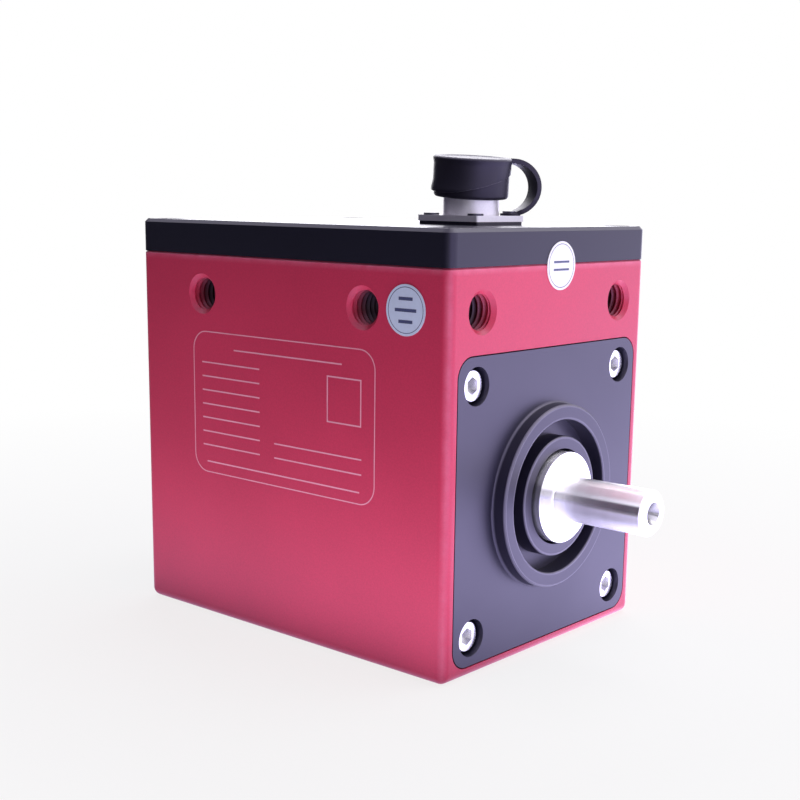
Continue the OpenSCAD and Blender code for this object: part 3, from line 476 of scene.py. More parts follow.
def lathe_rings():
    """Tool marks round the shaft axis, and the distance from that axis and along it from the middle."""
    sockets = ("Rings", "Radius", "Along")
    tree, sheet, given, result = node_group("Lathe rings", ("Fineness",), sockets)
    place = sheet.axes(sheet.own_place())
    up = sheet.math("SUBTRACT", place["Z"], SHAFT_HEIGHT)
    squares = sheet.math("ADD", sheet.math("POWER", place["Y"], 2), sheet.math("POWER", up, 2))
    radius = sheet.math("SQRT", squares)
    across = sheet.add("ShaderNodeCombineXYZ", {"X": radius, "Y": place["X"]})
    sheet.feed(result["Rings"], sheet.noise(across.outputs[0], given["Fineness"], 2))
    sheet.feed(result["Radius"], radius)
    sheet.feed(result["Along"], sheet.math("ABSOLUTE", place["X"]))
    return tree


def edge_wear_and_highlight():
    """Mask along the edges of an upright box, for wear and a painted highlight, broken up by noise, and the depth
    below its faces, for painted shade.
    """
    sockets = ("Half Length", "Half Width", "Low", "High", "Reach")
    tree, sheet, given, result = node_group("Edge wear", sockets, ("Wear", "Depth"))
    where = sheet.own_place()
    place = sheet.axes(where)
    end = sheet.math("SUBTRACT", given["Half Length"], sheet.math("ABSOLUTE", place["X"]))
    side = sheet.math("SUBTRACT", given["Half Width"], sheet.math("ABSOLUTE", place["Y"]))
    floor = sheet.math("SUBTRACT", place["Z"], given["Low"])
    roof = sheet.math("SUBTRACT", given["High"], place["Z"])
    level = sheet.math("MINIMUM", floor, roof)
    nearest = sheet.math("MINIMUM", end, side)
    farthest = sheet.math("MAXIMUM", end, side)
    second = sheet.math("MAXIMUM", nearest, sheet.math("MINIMUM", farthest, level))
    sheet.feed(result["Depth"], sheet.math("MINIMUM", nearest, level))
    close = sheet.spread(second, 0.0, given["Reach"], 1.0, 0.0)
    patches = sheet.spread(sheet.noise(where, 420.0, 5.0), 0.35, 0.7, 0.5, 1.0)
    sheet.feed(result["Wear"], sheet.math("MULTIPLY", close, patches))
    return tree


GROUP_MAKERS = {"Surface grain": surface_grain, "Lathe rings": lathe_rings, "Edge wear": edge_wear_and_highlight}


def place_group(sheet, name, **values):
    """The outputs of one of the shared groups, placed with its own values."""
    tree = bpy.data.node_groups.get(name) or GROUP_MAKERS[name]()
    node = sheet.add("ShaderNodeGroup", node_tree=tree)
    for socket, value in values.items():
        node.inputs[socket.replace("_", " ")].default_value = value
    return node.outputs


def shaded(colour, amount):
    """A colour made lighter or darker, with full alpha."""
    return (*(min(1.0, channel * amount) for channel in colour), 1.0)


def new_finish(name, **constants):
    """A material with its sheet and shader; constants are set on the shader's own sockets."""
    material = bpy.data.materials.new(name)
    material.use_nodes = True
    shader = material.node_tree.nodes["Principled BSDF"]
    for socket, value in constants.items():
        shader.inputs[socket.replace("_", " ")].default_value = value
    return material, NodeSheet(material.node_tree), shader


def sheen(index):
    """Settings for the violet sheen of oxide and rubber with a refractive index."""
    return {"IOR": index, "Specular_Tint": OXIDE_SHEEN}


def dress(sheet, shader, colour, roughness, height, depth):
    """Feeds a shader, with bump from a height between 0 and 1 that is depth metres high."""
    bump = sheet.add("ShaderNodeBump", {"Height": height, "Distance": depth, "Strength": 1.0})
    sheet.feed(shader.inputs["Base Color"], colour)
    sheet.feed(shader.inputs["Roughness"], roughness)
    sheet.feed(shader.inputs["Normal"], bump.outputs["Normal"])


def grained_finish(
    name, colour, roughness, contrast=0.12, grain=3000.0, cloud=30.0, depth=4e-6, wear=None, **constants
):
    """A plain finish with grain and clouds; where a box is given, edges lightened by wear and a painted highlight,
    and painted shade in holes by depth.
    """
    material, sheet, shader = new_finish(name, **constants)
    grained = place_group(sheet, "Surface grain", Grain=grain, Cloud=cloud)
    tone = sheet.even(sheet.half_and_half(grained["Fine"], grained["Clouds"]), 0.0, 1.0)
    base = sheet.blend(tone, shaded(colour, 1 - contrast), shaded(colour, 1 + contrast))
    if wear:
        # Edges lighter with wear, and on the housing also with a painted highlight
        box = place_group(sheet, "Edge wear", **wear["box"])
        worn_and_highlit = sheet.math("MULTIPLY", box["Wear"], wear["strength"])
        base = sheet.blend(worn_and_highlit, base, shaded(wear["colour"], 1.0))
        # Painted shade: darker with depth below the box's faces, in holes and screw sockets
        base = sheet.blend(sheet.spread(box["Depth"], *wear["dark"]), base, shaded(colour, 0.03))
    rough = sheet.spread(tone, 0.0, 1.0, roughness * 0.9, roughness * 1.1)
    dress(sheet, shader, base, rough, grained["Fine"], depth)
    return material


def turned_finish(name, colour, roughness, fineness, depth, hole=0.0):
    """A bright metal with tool marks that draw out its highlights, and painted shade in centre holes of a radius.
    """
    material, sheet, shader = new_finish(name, Metallic=1.0, Anisotropic=1.0, Anisotropic_Rotation=0.25)
    across = sheet.add("ShaderNodeTangent", direction_type="RADIAL", axis="X")
    sheet.feed(shader.inputs["Tangent"], across.outputs["Tangent"])
    lathe = place_group(sheet, "Lathe rings", Fineness=fineness)
    clouds = place_group(sheet, "Surface grain", Grain=2500.0, Cloud=60.0)["Clouds"]
    base = sheet.blend(lathe["Rings"], shaded(colour, 0.86), shaded(colour, 1.1))
    # Painted shade inside the centre holes, darkest in the middle
    if hole:
        painted_hole_shade = sheet.spread(lathe["Radius"], 0.3 * hole, 0.9 * hole, 0.9, 0.45)
        inside = sheet.math("LESS_THAN", lathe["Radius"], hole - 0.02 * MM)
        base = sheet.blend(sheet.math("MULTIPLY", painted_hole_shade, inside), base, shaded(colour, 0.08))
    rough = sheet.even(clouds, roughness * 0.8, roughness * 1.25)
    dress(sheet, shader, base, rough, lathe["Rings"], depth)
    return material


def box_wear_highlight_and_shade(node, reach, strength, colour, dark):
    """Edges of a node's box lightened by wear and a painted highlight, and its painted shade by depth."""
    low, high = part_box(node)
    box = {"Half_Length": high.x, "Half_Width": high.y, "Low": low.z, "High": high.z, "Reach": reach}
    return {"box": box, "strength": strength, "colour": colour, "dark": dark}


def paint(material, *nodes):
    """Gives CAD nodes a finish."""
    for name in nodes:
        slots = frame["nodes"][name].data.materials
        slots.clear()
        slots.append(material)


def finish_of(node):
    """The material that a CAD node carries."""
    return frame["nodes"][node].data.materials[0]


class SENSOR_OT_finishes(bpy.types.Operator):
    """Gives every CAD node its finish"""

    bl_idname = "sensor.finishes"
    bl_label = "Finishes"

    def execute(self, context):
        tints = context.scene.sensor_tints
        self.paint_covers(tints)
        self.paint_metals(tints)
        rubber = grained_finish("Moulded rubber", tints.rubber, 0.46, **RUBBER_GRAIN, **sheen(1.43))
        paint(rubber, "dust_cap", "cap_strap", "connector_gasket")
        for name, colour, roughness, settings, nodes in INSIDE_FINISHES:
            paint(grained_finish(name, colour, roughness, **settings), *nodes)
        return {"FINISHED"}

    def paint_covers(self, tints):
        """Anodised housing, lid and end plates."""
        # The housing's edges get wear and a painted highlight, and its tapped holes painted shade
        wear = box_wear_highlight_and_shade("housing", 1.5 * MM, 0.55, tints.worn_and_highlit_red, HOLE_SHADE)
        red = grained_finish("Red anodised aluminium", tints.red, 0.38, wear=wear, **sheen(1.5))
        paint(red, "housing")
        wear = box_wear_highlight_and_shade("lid", 0.6 * MM, 0.08, tints.worn_black, HOLE_SHADE)
        black = grained_finish("Black anodised aluminium", tints.black, 0.36, wear=wear, **sheen(1.42))
        paint(black, "lid")
        turned_black, sheet, shader = new_finish("Black anodised turned plate", **sheen(1.65))
        grain = place_group(sheet, "Surface grain", Grain=3000.0, Cloud=40.0)
        lathe = place_group(sheet, "Lathe rings", Fineness=2600.0)
        tone = sheet.half_and_half(grain["Fine"], lathe["Rings"])
        base = sheet.blend(tone, shaded(tints.plate, 0.9), shaded(tints.plate, 1.1))
        # A painted highlight along the boss, groove and hub edges, broken up like wear
        rubbed_and_highlit = self.painted_rim_highlights(sheet, lathe, grain["Clouds"])
        base = sheet.blend(rubbed_and_highlit, base, shaded(tints.rubbed_and_highlit, 1.0))
        dress(sheet, shader, base, sheet.even(grain["Clouds"], 0.36, 0.44), tone, 4e-6)
        paint(turned_black, "front_end_plate", "rear_end_plate")

    def painted_rim_highlights(self, sheet, lathe, clouds):
        """Mask of the boss, groove and hub edges of an end plate, where a highlight is painted, broken up like
        wear.
        """
        nearest = 1.0
        for edge in BOSS_EDGES:
            away = sheet.math("ABSOLUTE", sheet.math("SUBTRACT", lathe["Radius"], edge))
            nearest = sheet.math("MINIMUM", nearest, away)
        close = sheet.spread(nearest, *RIM_HIGHLIGHT_BAND)
        proud = sheet.spread(lathe["Along"], *BOSS_STEP)
        broken = sheet.even(clouds, 0.4, 1.0)
        return sheet.math("MULTIPLY", sheet.math("MULTIPLY", close, proud), broken)

    def paint_metals(self, tints):
        """Shaft, bearings, screws, connector and windings."""
        steel = turned_finish("Turned steel", tints.steel, 0.23, 5000.0, depth=2e-7, hole=CENTRE_HOLE)
        paint(steel, "torsion_shaft", "preload_washer", "speed_disc")
        ground = turned_finish("Ground bearing steel", tints.steel, 0.3, 9000.0, depth=3e-7)
        for end in ("front", "rear"):
            parts = ("outer_ring", "inner_ring", "balls", "cage")
            paint(ground, *(f"{end}_bearing_{part}" for part in parts))
        # The screws get no edge wear, only painted shade in their sockets by depth
        wear = box_wear_highlight_and_shade("front_plate_screws", 0.6 * MM, 0.0, tints.steel, SOCKET_SHADE)
        grain = {"contrast": 0.1, "grain": 6000.0, "cloud": 250.0, "depth": 2e-6}
        bright = grained_finish("Bright screw steel", tints.steel, 0.24, wear=wear, Metallic=1.0, **grain)
        paint(bright, *(f"{place}_screws" for place in BRIGHT_SCREWS))
        grain = {"contrast": 0.06, "grain": 2500.0, "cloud": 120.0, "depth": 1e-6}
        nickel = grained_finish("Nickel plating", tints.nickel, 0.42, Metallic=0.4, **grain)
        paint(nickel, "connector_shell", "connector_pins", "board_standoffs", "disc_hub")
        grain = {"grain": 5000.0, "cloud": 200.0}
        blackened = grained_finish("Blackened screws", tints.blackened, 0.34, Metallic=0.8, **grain)
        paint(blackened, "lid_screws", "connector_screws")
        copper = turned_finish("Wound copper", COPPER, 0.3, 2600.0, depth=3e-5)
        for side in ("power", "signal"):
            paint(copper, f"{side}_rotor_coil", f"{side}_stator_coil")


class SENSOR_OT_mounting_threads(bpy.types.Operator):
    """Winds the thread ridges into the tapped holes of the sides and ends"""

    bl_idname = "sensor.mounting_threads"
    bl_label = "Mounting threads"

    def execute(self, context):
        sizes = context.scene.sensor_sizes
        builder = bmesh.new()
        for mouth, outward, radius, depth in self.holes():
            inward = -Vector(outward)
            start = facing(mouth + inward * sizes.thread_mouth, inward)
            turns = (depth - sizes.thread_mouth) / sizes.thread_pitch - 0.5
            helix(builder, start, radius, -sizes.thread_height, sizes.thread_pitch, turns, HOLE_STEPS)
            self.lead_in(builder, facing(mouth, inward), radius, sizes.thread_mouth)
        close_mesh(builder)
        piece = add_piece("mounting_threads", builder, BODY, [finish_of("housing")])
        return {"FINISHED"}

    def lead_in(self, builder, place, radius, depth):
        """The countersunk cone at the mouth of a thread."""
        start = 0.2 * MM
        throat = radius - (depth - start)
        outline = [
            (radius, start, False),
            (throat, depth, False),
            (throat, depth + 0.2 * MM, False),
            (radius, depth + 0.5 * MM, False),
            (radius, start, False),
        ]
        cone = turned(outline, 0.1 * MM, CONE_STEPS)
        bmesh.ops.transform(cone, matrix=place, verts=cone.verts[:])
        join(builder, cone)

    def holes(self):
        """Mouth, outward direction, radius and depth of each tapped hole that shows."""
        for name in ("left_side_threads", "right_side_threads"):
            mount = MOUNTS[name]
            half = mount["dims"]["spacing_x_mm"] * MM / 2
            radius = mount["dims"]["hole_r_mm"] * MM
            for side in (-1, 1):
                mouth = Vector(mount["pos_m"]) + Vector((side * half, 0, 0))
                yield mouth, mount["axis"], radius, SIDE_HOLE_DEPTH
        for end, face in (("front", HOUSING_HIGH.x), ("rear", HOUSING_LOW.x)):
            for side in ("left", "right"):
                mount = MOUNTS[f"{end}_{side}_thread"]
                mouth = Vector((face, mount["pos_m"][1], mount["pos_m"][2]))
                yield mouth, mount["axis"], mount["dims"]["r_mm"] * MM, mount["dims"]["length_mm"] * MM


class SENSOR_OT_barrel_thread(bpy.types.Operator):
    """Winds the coupling thread round the connector barrel"""

    bl_idname = "sensor.barrel_thread"
    bl_label = "Barrel thread"

    def execute(self, context):
        sizes = context.scene.sensor_sizes
        pitch = sizes.barrel_pitch
        foot = CAP_LOW.z + pitch
        builder = bmesh.new()
        place = Matrix.Translation(CONNECTOR + Vector((0, 0, foot)))
        turns = (SHELL_TOP - foot) / pitch - 1
        helix(builder, place, BARREL_RADIUS, sizes.barrel_height, pitch, turns, BARREL_STEPS)
        close_mesh(builder)
        piece = add_piece("barrel_thread", builder, BODY, [finish_of("connector_shell")])
        return {"FINISHED"}


class SENSOR_OT_dust_cap(bpy.types.Operator):
    """Turns the rubber cap from a plug and a sleeve, and leans it"""

    bl_idname = "sensor.dust_cap"
    bl_label = "Dust cap"

    def execute(self, context):
        sizes = context.scene.sensor_sizes
        steps = context.scene.sensor_studio.steps
        builder = self.core(sizes, steps)
        join(builder, self.sleeve(sizes, steps))
        lean = Matrix.Rotation(sizes.cap_tilt, 4, CAP_LEAN_AXIS)
        seat = Vector((0, 0, (CAP_LOW.z + SHELL_TOP) / 2))
        place = Matrix.Translation(CONNECTOR + seat) @ lean @ Matrix.Translation(-seat)
        bmesh.ops.transform(builder, matrix=place, verts=builder.verts[:])
        # The lip's paler rubber is a painted highlight
        lip = grained_finish("Rubbed rubber lip", context.scene.sensor_tints.lip, 0.4, **RUBBER_GRAIN)
        piece = add_piece("rubber_cap", builder, CAP, [finish_of("dust_cap"), lip])
        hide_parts("dust_cap")
        return {"FINISHED"}

    def core(self, sizes, steps):
        """The plug of the cap: its bore, its skirt and its roof."""
        low, top = CAP_LOW.z + 0.45 * MM, CAP_HIGH.z
        bore, skirt = sizes.cap_bore, sizes.cap_skirt
        roof = top - 1.1 * MM
        outline = [
            (0, roof, False),
            (bore, roof, True),
            (bore, low + 0.25 * MM, True),
            (bore + 0.3 * MM, low, True),
            (skirt - 0.3 * MM, low, True),
            (skirt, low + 0.5 * MM, True),
            (skirt, top - 0.3 * MM, False),
            (0, top - 0.3 * MM, False),
        ]
        return turned(outline, 0.2 * MM, steps)

    def sleeve(self, sizes, steps):
        """The swelling sleeve with its rim, cut on a slant; its rounded lip takes the second finish, a painted
        highlight.
        """
        top = CAP_HIGH.z
        edge = CAP_LOW.z + 1.7 * MM
        inner = sizes.cap_skirt - 0.2 * MM
        outline = [
            (0, top - 0.2 * MM, False),
            (CAP_RIM - 1.9 * MM, top - 0.2 * MM, True),
            (CAP_RIM - 1.3 * MM, top, True),
            (CAP_RIM - 0.35 * MM, top, True),
            (CAP_RIM, top - 0.35 * MM, True),
            (CAP_RIM - 0.1 * MM, top - 0.75 * MM, True),
            (sizes.cap_waist, top - 1.35 * MM, True),
            (sizes.cap_waist, top - 4.6 * MM, False),
            (sizes.cap_swell, edge + 0.5 * MM, True),
            (sizes.cap_swell, edge, False),
            (sizes.cap_skirt, edge - 1.2 * MM, False),
            (inner, edge - 1.3 * MM, False),
            (inner, top - 0.25 * MM, False),
            (0, top - 0.25 * MM, False),
        ]
        sleeve = turned(outline, 0.25 * MM, steps)
        side = Vector((math.cos(SLEEVE_HEADING), math.sin(SLEEVE_HEADING), 0))
        cut = bmesh.ops.bisect_plane(
            sleeve,
            geom=sleeve.verts[:] + sleeve.edges[:] + sleeve.faces[:],
            plane_co=(0, 0, top - sizes.cap_sleeve),
            plane_no=side * SLEEVE_SLOPE - Vector((0, 0, 1)),
            clear_outer=True,
        )["geom_cut"]
        rims = [item for item in cut if isinstance(item, bmesh.types.BMEdge) and item.is_boundary]
        made = bmesh.ops.bridge_loops(sleeve, edges=rims)["faces"]
        skirt = sizes.cap_skirt + 0.05 * MM
        edges = {edge for face in made for edge in face.edges}
        lip = [edge for edge in edges if all(vert.co.xy.length > skirt for vert in edge.verts)]
        for face in round_off(sleeve, lip, 0.15 * MM, 3, "EDGES"):
            face.material_index = 1
        close_mesh(sleeve)
        return sleeve


class SENSOR_OT_cap_strap(bpy.types.Operator):
    """Bends the rubber strap from the cap down to its eyelet on the flange"""

    bl_idname = "sensor.cap_strap"
    bl_label = "Cap strap"

    def execute(self, context):
        sizes = context.scene.sensor_sizes
        flange_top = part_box("cap_strap")[0].z
        half = sizes.strap_thickness / 2
        low, high = flange_top + half, CAP_HIGH.z - STRAP_DROP
        middle = sizes.strap_reach - half - (high - low) / 2
        aside = Matrix.Rotation(SCREW_HEADING - sizes.strap_heading, 3, "Z")
        screw = aside @ Vector((SCREW_REACH, 0, 0))
        builder = bmesh.new()
        rings = self.run(builder, sizes, (low, high), middle, screw.x)
        self.lead_to_screw(builder, rings, screw.y, flange_top, sizes)
        close_mesh(builder)
        paired = [edge for edge in builder.edges if len(edge.link_faces) == 2]
        edges = [edge for edge in paired if edge.calc_face_angle(0) > STRAP_EDGE_ANGLE]
        round_off(builder, edges, 0.2 * MM, 3, "EDGES")
        join(builder, self.eyelet_ring(screw, flange_top))
        place = Matrix.Translation(CONNECTOR) @ Matrix.Rotation(sizes.strap_heading, 4, "Z")
        bmesh.ops.transform(builder, matrix=place, verts=builder.verts[:])
        piece = add_piece("rubber_strap", builder, None, [finish_of("cap_strap")])
        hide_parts("cap_strap")
        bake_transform(piece)
        return {"FINISHED"}

    def run(self, builder, sizes, levels, middle, last):
        """Runs the strap out from the rim, round its half-circle bend and back, and gives its rings."""
        low, high = levels
        root = CAP_RIM - STRAP_BITE
        width, half = sizes.strap_width / 2, sizes.strap_thickness / 2
        corners = [(-width, high - half), (width, high - half), (width, high + half), (-width, high + half)]
        end = builder.faces.new([builder.verts.new((root, across, up)) for across, up in corners])
        rings = [list(end.verts)]
        out = Matrix.Translation(((middle - root) / STRAIGHT_STEPS, 0, 0))
        centre = Matrix.Translation((middle, 0, (high + low) / 2))
        turn = centre @ Matrix.Rotation(math.pi / BEND_STEPS, 4, "Y") @ centre.inverted()
        back = Matrix.Translation(((last - middle) / STRAIGHT_STEPS, 0, 0))
        for steps, move in ((STRAIGHT_STEPS, out), (BEND_STEPS, turn), (STRAIGHT_STEPS, back)):
            for _ in range(steps):
                end = self.grow(builder, end, rings)
                bmesh.ops.transform(builder, matrix=move, verts=rings[-1])
        return rings

    def grow(self, builder, end, rings):
        """Extrudes the end face of the strap; only the first face stays, as the strap's root."""
        faces, verts = extruded(builder, [end])
        if len(rings) > 1:
            bmesh.ops.delete(builder, geom=[end], context="FACES_ONLY")
        rings.append(verts)
        return faces[0]

    def lead_to_screw(self, builder, rings, aside, flange_top, sizes):
        """Twists the strap, and leads its last rings sideways to the screw and down to the eyelet."""
        thinning = 1 - EYELET_THICKNESS / sizes.strap_thickness
        for index, ring in enumerate(rings):
            along = index / (len(rings) - 1)
            share = min(1.0, max(0.0, (along - LEAD_START) / LEAD_SPAN))
            ease = share * share * (3 - 2 * share)
            bmesh.ops.translate(builder, verts=ring, vec=(0, aside * ease, 0))
            twist = Matrix.Rotation(sizes.strap_twist * math.sin(math.pi * along), 3, "Z")
            middle = sum((vert.co for vert in ring), Vector()) / len(ring)
            bmesh.ops.rotate(builder, verts=ring, cent=middle, matrix=twist)
            if share > 0.5:
                thin = Matrix.Diagonal((1, 1 - STRAP_NARROWING * ease, 1 - thinning * (2 * share - 1), 1))
                centre = Matrix.Translation((0, aside * ease, flange_top))
                bmesh.ops.transform(builder, matrix=centre @ thin @ centre.inverted(), verts=ring)

    def eyelet_ring(self, screw, low):
        """The eyelet of the strap, which the flange screw holds down."""
        top = low + EYELET_THICKNESS
        outline = [
            (EYELET_BORE, low, False),
            (EYELET_RADIUS, low, True),
            (EYELET_RADIUS, top, True),
            (EYELET_BORE, top, False),
            (EYELET_BORE, low, False),
        ]
        ring = turned(outline, 0.12 * MM, EYELET_STEPS)
        bmesh.ops.translate(ring, vec=(screw.x, screw.y, 0), verts=ring.verts[:])
        return ring


class SENSOR_OT_panel_marking(bpy.types.Operator):
    """Marks the long side with a thin frame and plain ruled rows"""

    bl_idname = "sensor.panel_marking"
    bl_label = "Panel marking"

    def execute(self, context):
        sizes = context.scene.sensor_sizes
        builder = bmesh.new()
        corners = flat_sheet(builder, sizes.frame_width, sizes.frame_height)
        round_off(builder, corners, sizes.frame_corner, 10, "VERTICES")
        self.keep_rim(builder, builder.faces[:][-1], sizes.frame_line)
        self.rows(builder, sizes)
        raised = extruded(builder, builder.faces[:])[1]
        bmesh.ops.translate(builder, vec=(0, 0, MARKING_FILM), verts=raised)
        upright = Matrix.Rotation(math.radians(90), 4, "X")
        place = Matrix.Translation((sizes.frame_x, HOUSING_LOW.y, sizes.frame_z)) @ upright
        bmesh.ops.transform(builder, matrix=place, verts=builder.verts[:])
        close_mesh(builder)
        colour = context.scene.sensor_tints.marking
        marking = grained_finish("Laser marking", colour, 0.5, contrast=0.1, grain=5000.0, cloud=300.0)
        add_piece("panel_marking", builder, BODY, [marking])
        return {"FINISHED"}

    def keep_rim(self, builder, face, width):
        """Leaves only a rim of the given width of a face."""
        settings = {"use_even_offset": True, "use_boundary": True}
        bmesh.ops.inset_region(builder, faces=[face], thickness=width, **settings)
        bmesh.ops.delete(builder, geom=[face], context="FACES")

    def rows(self, builder, sizes):
        """Plain ruled rows and an empty square inside the frame."""
        right, top = sizes.frame_width / 2, sizes.frame_height / 2
        spans = [(-13.5 * MM, 17.5 * MM, top - 3.4 * MM)]
        for index in range(7):
            spans.append((2.8 * MM - right, 20.5 * MM - right, top - 6.6 * MM - index * ROW_PITCH))
        for index in range(2):
            spans.append((-1.5 * MM, right - 3.5 * MM, top - 21.4 * MM - index * ROW_PITCH))
        spans.append((4.0 * MM - right, right - 4.0 * MM, 2.4 * MM - top))
        for start, end, height in spans:
            flat_sheet(builder, end - start, ROW_LINE, ((start + end) / 2, height, 0))
        square = flat_sheet(builder, 9.2 * MM, 9.2 * MM, (right - 8.2 * MM, top - 10.5 * MM, 0))
        self.keep_rim(builder, square[0].link_faces[0], ROW_LINE)


class SENSOR_OT_stickers(bpy.types.Operator):
    """Puts a plain round inspection sticker on the long side and a seal over the lid seam"""

    bl_idname = "sensor.stickers"
    bl_label = "Stickers"

    def execute(self, context):
        sizes = context.scene.sensor_sizes
        tints = context.scene.sensor_tints
        ink = grained_finish("Sticker ink", tints.ink, 0.5, grain=4000.0)
        blue = grained_finish("Pale blue film", tints.pale_blue, 0.38, contrast=0.05, **FILM_GRAIN)
        white = grained_finish("White film", tints.white, 0.38, contrast=0.04, **FILM_GRAIN)
        side = facing((sizes.sticker_x, HOUSING_LOW.y, sizes.sticker_z), (0, -1, 0))
        side_lines = ((2.1 * MM, 3.4 * MM), (0.0, 5.2 * MM), (-2.1 * MM, 3.4 * MM))
        self.disc("inspection_sticker", side, sizes, [blue, ink], side_lines, 0.62 * MM)
        front = facing((HOUSING_HIGH.x, sizes.seal_y, sizes.seal_z), (1, 0, 0))
        seal_lines = ((0.75 * MM, 5.2 * MM), (-0.75 * MM, 5.2 * MM))
        self.disc("seal_sticker", front, sizes, [white, ink], seal_lines, 0.42 * MM)
        return {"FINISHED"}

    def disc(self, name, place, sizes, films, lines, line_width):
        """A thin disc with a printed ring and short ruled lines, given as (offset, length)."""
        builder = bmesh.new()
        bmesh.ops.create_circle(builder, cap_ends=True, segments=72, radius=sizes.sticker_size / 2)
        face = builder.faces[:][0]
        if face.normal.z < 0:
            bmesh.ops.reverse_faces(builder, faces=[face])
        faces, verts = extruded(builder, [face])
        bmesh.ops.translate(builder, vec=(0, 0, sizes.sticker_thickness), verts=verts)
        bmesh.ops.inset_region(builder, faces=faces, thickness=RING_MARGIN, use_even_offset=True)
        ring = bmesh.ops.inset_region(builder, faces=faces, thickness=RING_LINE, use_even_offset=True)
        printed = set(ring["faces"])
        for offset, span in lines:
            middle = Matrix.Translation((0, offset, sizes.sticker_thickness))
            bar = middle @ Matrix.Diagonal((span, line_width, INK_FILM, 1))
            corners = bmesh.ops.create_cube(builder, size=1, matrix=bar)["verts"]
            printed.update(face for vert in corners for face in vert.link_faces)
        for item in printed:
            item.material_index = 1
        bmesh.ops.transform(builder, matrix=place, verts=builder.verts[:])
        close_mesh(builder)
        add_piece(name, builder, BODY, films)


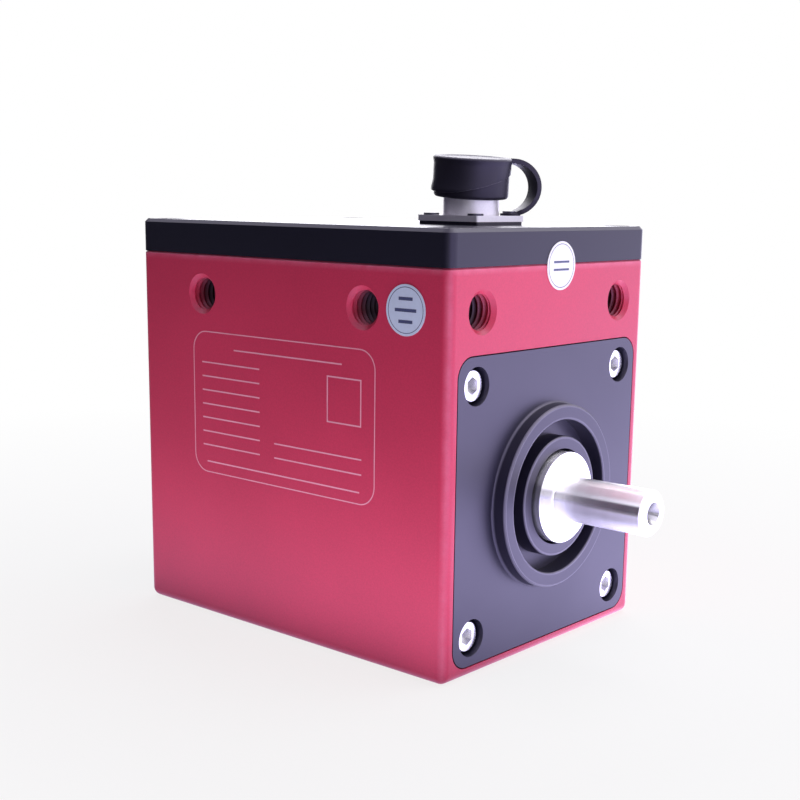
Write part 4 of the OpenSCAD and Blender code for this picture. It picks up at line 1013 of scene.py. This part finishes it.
class SENSOR_OT_stage(bpy.types.Operator):
    """Sets the floor, the room, the softboxes and the camera"""

    bl_idname = "sensor.stage"
    bl_label = "Stage"

    def execute(self, context):
        studio = context.scene.sensor_studio
        context.scene.view_settings.view_transform = "Standard"
        self.floor()
        self.room(context.scene, studio.ambient)
        for name, setting, place, target, size in SOFTBOXES:
            self.softbox(name, getattr(studio, setting), place, target, size)
        self.camera(context.scene)
        return {"FINISHED"}

    def floor(self):
        """A pale floor with a soft shadow, which also gives off the light of its own glow."""
        builder = bmesh.new()
        flat_sheet(builder, FLOOR_SIZE, FLOOR_SIZE, (0, 0, -FLOOR_DROP))
        material, sheet, shader = new_finish("Pale floor")
        sheet.tree.nodes.remove(shader)
        matt = sheet.add("ShaderNodeBsdfDiffuse", {"Color": FLOOR_COLOUR})
        path = sheet.add("ShaderNodeLightPath").outputs
        place = sheet.own_place()
        glow = self.floor_glow(sheet, place, path)
        reach = sheet.add("ShaderNodeVectorMath", {0: place}, operation="LENGTH").outputs["Value"]
        share = sheet.pick(path["Is Camera Ray"], GLOW_SHARE, sheet.spread(reach, *SEEN_GLOW_SHARE))
        mix = sheet.add("ShaderNodeMixShader", {0: share, 1: matt.outputs[0], 2: glow.outputs[0]})
        sheet.feed(sheet.tree.nodes["Material Output"].inputs["Surface"], mix.outputs[0])
        material.cycles.emission_sampling = "NONE"
        add_piece("floor", builder, None, [material])

    def floor_glow(self, sheet, place, path):
        """The floor's glow: white to the camera, graded for the light and reflections on the sensor."""
        seen, soft = path["Is Camera Ray"], path["Is Diffuse Ray"]
        side = self.bright_side(sheet, place)[0]
        right = sheet.math("MINIMUM", sheet.spread(side, *MIRRORED_RISE), sheet.spread(side, *MIRRORED_FALL))
        mirrored = sheet.math("ADD", sheet.spread(side, *MIRRORED_FRONT), right)
        lit = sheet.math("MAXIMUM", self.lit_strip(sheet, place), sheet.spread(side, *LIT_RIGHT))
        level = sheet.pick(soft, mirrored, lit)
        lilac = sheet.blend(soft, MIRRORED_TINT, LIT_TINT)
        colour = sheet.blend(seen, lilac, WHITE)
        return sheet.add("ShaderNodeEmission", {"Color": colour, "Strength": sheet.pick(seen, level, 1.0)})

    def lit_strip(self, sheet, place):
        """Light from a strip of floor before the long side, which grows towards the shaft end."""
        axes = sheet.axes(place)
        far, near = (sheet.spread(axes["Y"], *edge) for edge in (STRIP_FAR, STRIP_NEAR))
        along = sheet.spread(axes["X"], *STRIP_ALONG)
        return sheet.math("MULTIPLY", sheet.math("MULTIPLY", far, near), along)

    def room(self, scene, ambient):
        """White to the camera, dark to bright in reflections, and a faint light elsewhere."""
        world = bpy.data.worlds.new("Studio room")
        world.use_nodes = True
        sheet = NodeSheet(world.node_tree)
        path = sheet.add("ShaderNodeLightPath").outputs
        seen = sheet.math("MAXIMUM", path["Is Camera Ray"], path["Is Glossy Ray"])
        side, up = self.bright_side(sheet, sheet.add("ShaderNodeTexCoord").outputs["Generated"])
        glow = sheet.math("MAXIMUM", sheet.spread(side, *WALL_GLOW), sheet.spread(up, *ROOF_GLOW))
        graded = sheet.blend(glow, ROOM_DARK, ROOM_BRIGHT)
        background = world.node_tree.nodes["Background"]
        sheet.feed(background.inputs["Color"], sheet.blend(path["Is Camera Ray"], graded, WHITE))
        sheet.feed(background.inputs["Strength"], sheet.spread(seen, 0.0, 1.0, ambient, 1.0))
        scene.world = world

    def bright_side(self, sheet, place):
        """How far a place lies towards the studio's bright right and back, and its height."""
        axes = sheet.axes(place)
        ahead, aside = (sheet.math("MULTIPLY", axes[axis], way) for axis, way in zip("XY", BRIGHT_WAY))
        return sheet.math("ADD", ahead, aside), axes["Z"]

    def softbox(self, name, watts, place, target, size):
        """A square area light that looks at a point."""
        light = bpy.data.lights.new(name, "AREA")
        light.shape = "SQUARE"
        light.size = size
        light.energy = watts
        lamp = bpy.data.objects.new(name, light)
        lamp.visible_camera = False
        bpy.context.scene.collection.objects.link(lamp)
        lamp.matrix_world = facing(place, Vector(place) - Vector(target))

    def camera(self, scene):
        """The camera at the photograph's place, angle and lens."""
        lens = bpy.data.cameras.new("photo_camera")
        lens.lens = CAMERA_LENS
        lens.sensor_width = CAMERA_SENSOR
        lens.shift_x = CAMERA_SHIFT_X
        lens.shift_y = CAMERA_SHIFT_Y
        lens.clip_start = CAMERA_NEAR
        camera = bpy.data.objects.new("photo_camera", lens)
        scene.collection.objects.link(camera)
        place = Matrix.Translation(CAMERA_EYE)
        for turn, axis in ((CAMERA_HEADING, "Z"), (math.pi / 2 - CAMERA_RISE, "X"), (CAMERA_ROLL, "Z")):
            place = place @ Matrix.Rotation(turn, 4, axis)
        camera.matrix_world = place
        scene.camera = camera


class SENSOR_PT_panel(bpy.types.Panel):
    """Lists the operators that dress the torque sensor"""

    bl_idname = "SENSOR_PT_panel"
    bl_label = "Torque Sensor"
    bl_space_type = "VIEW_3D"
    bl_region_type = "UI"
    bl_category = "Torque Sensor"

    def draw(self, context):
        for operator in OPERATORS:
            self.layout.operator(operator.bl_idname)


OPERATORS = (
    SENSOR_OT_finishes,
    SENSOR_OT_mounting_threads,
    SENSOR_OT_barrel_thread,
    SENSOR_OT_dust_cap,
    SENSOR_OT_cap_strap,
    SENSOR_OT_panel_marking,
    SENSOR_OT_stickers,
    SENSOR_OT_stage,
)
SETTINGS = {"sensor_sizes": SensorSizes, "sensor_tints": SensorTints, "sensor_studio": SensorStudio}
CLASSES = (*SETTINGS.values(), *OPERATORS, SENSOR_PT_panel)


def register():
    """Registers the classes and hangs the settings on the scene."""
    for item in CLASSES:
        bpy.utils.register_class(item)
    for name, group in SETTINGS.items():
        setattr(bpy.types.Scene, name, PointerProperty(type=group))


def unregister():
    """Takes the settings and the classes away again."""
    for name in SETTINGS:
        delattr(bpy.types.Scene, name)
    for item in reversed(CLASSES):
        bpy.utils.unregister_class(item)


def main():
    """Makes every piece in order."""
    register()
    for operator in OPERATORS:
        family, name = operator.bl_idname.split(".")
        getattr(getattr(bpy.ops, family), name)()


if __name__ == "__main__":
    main()
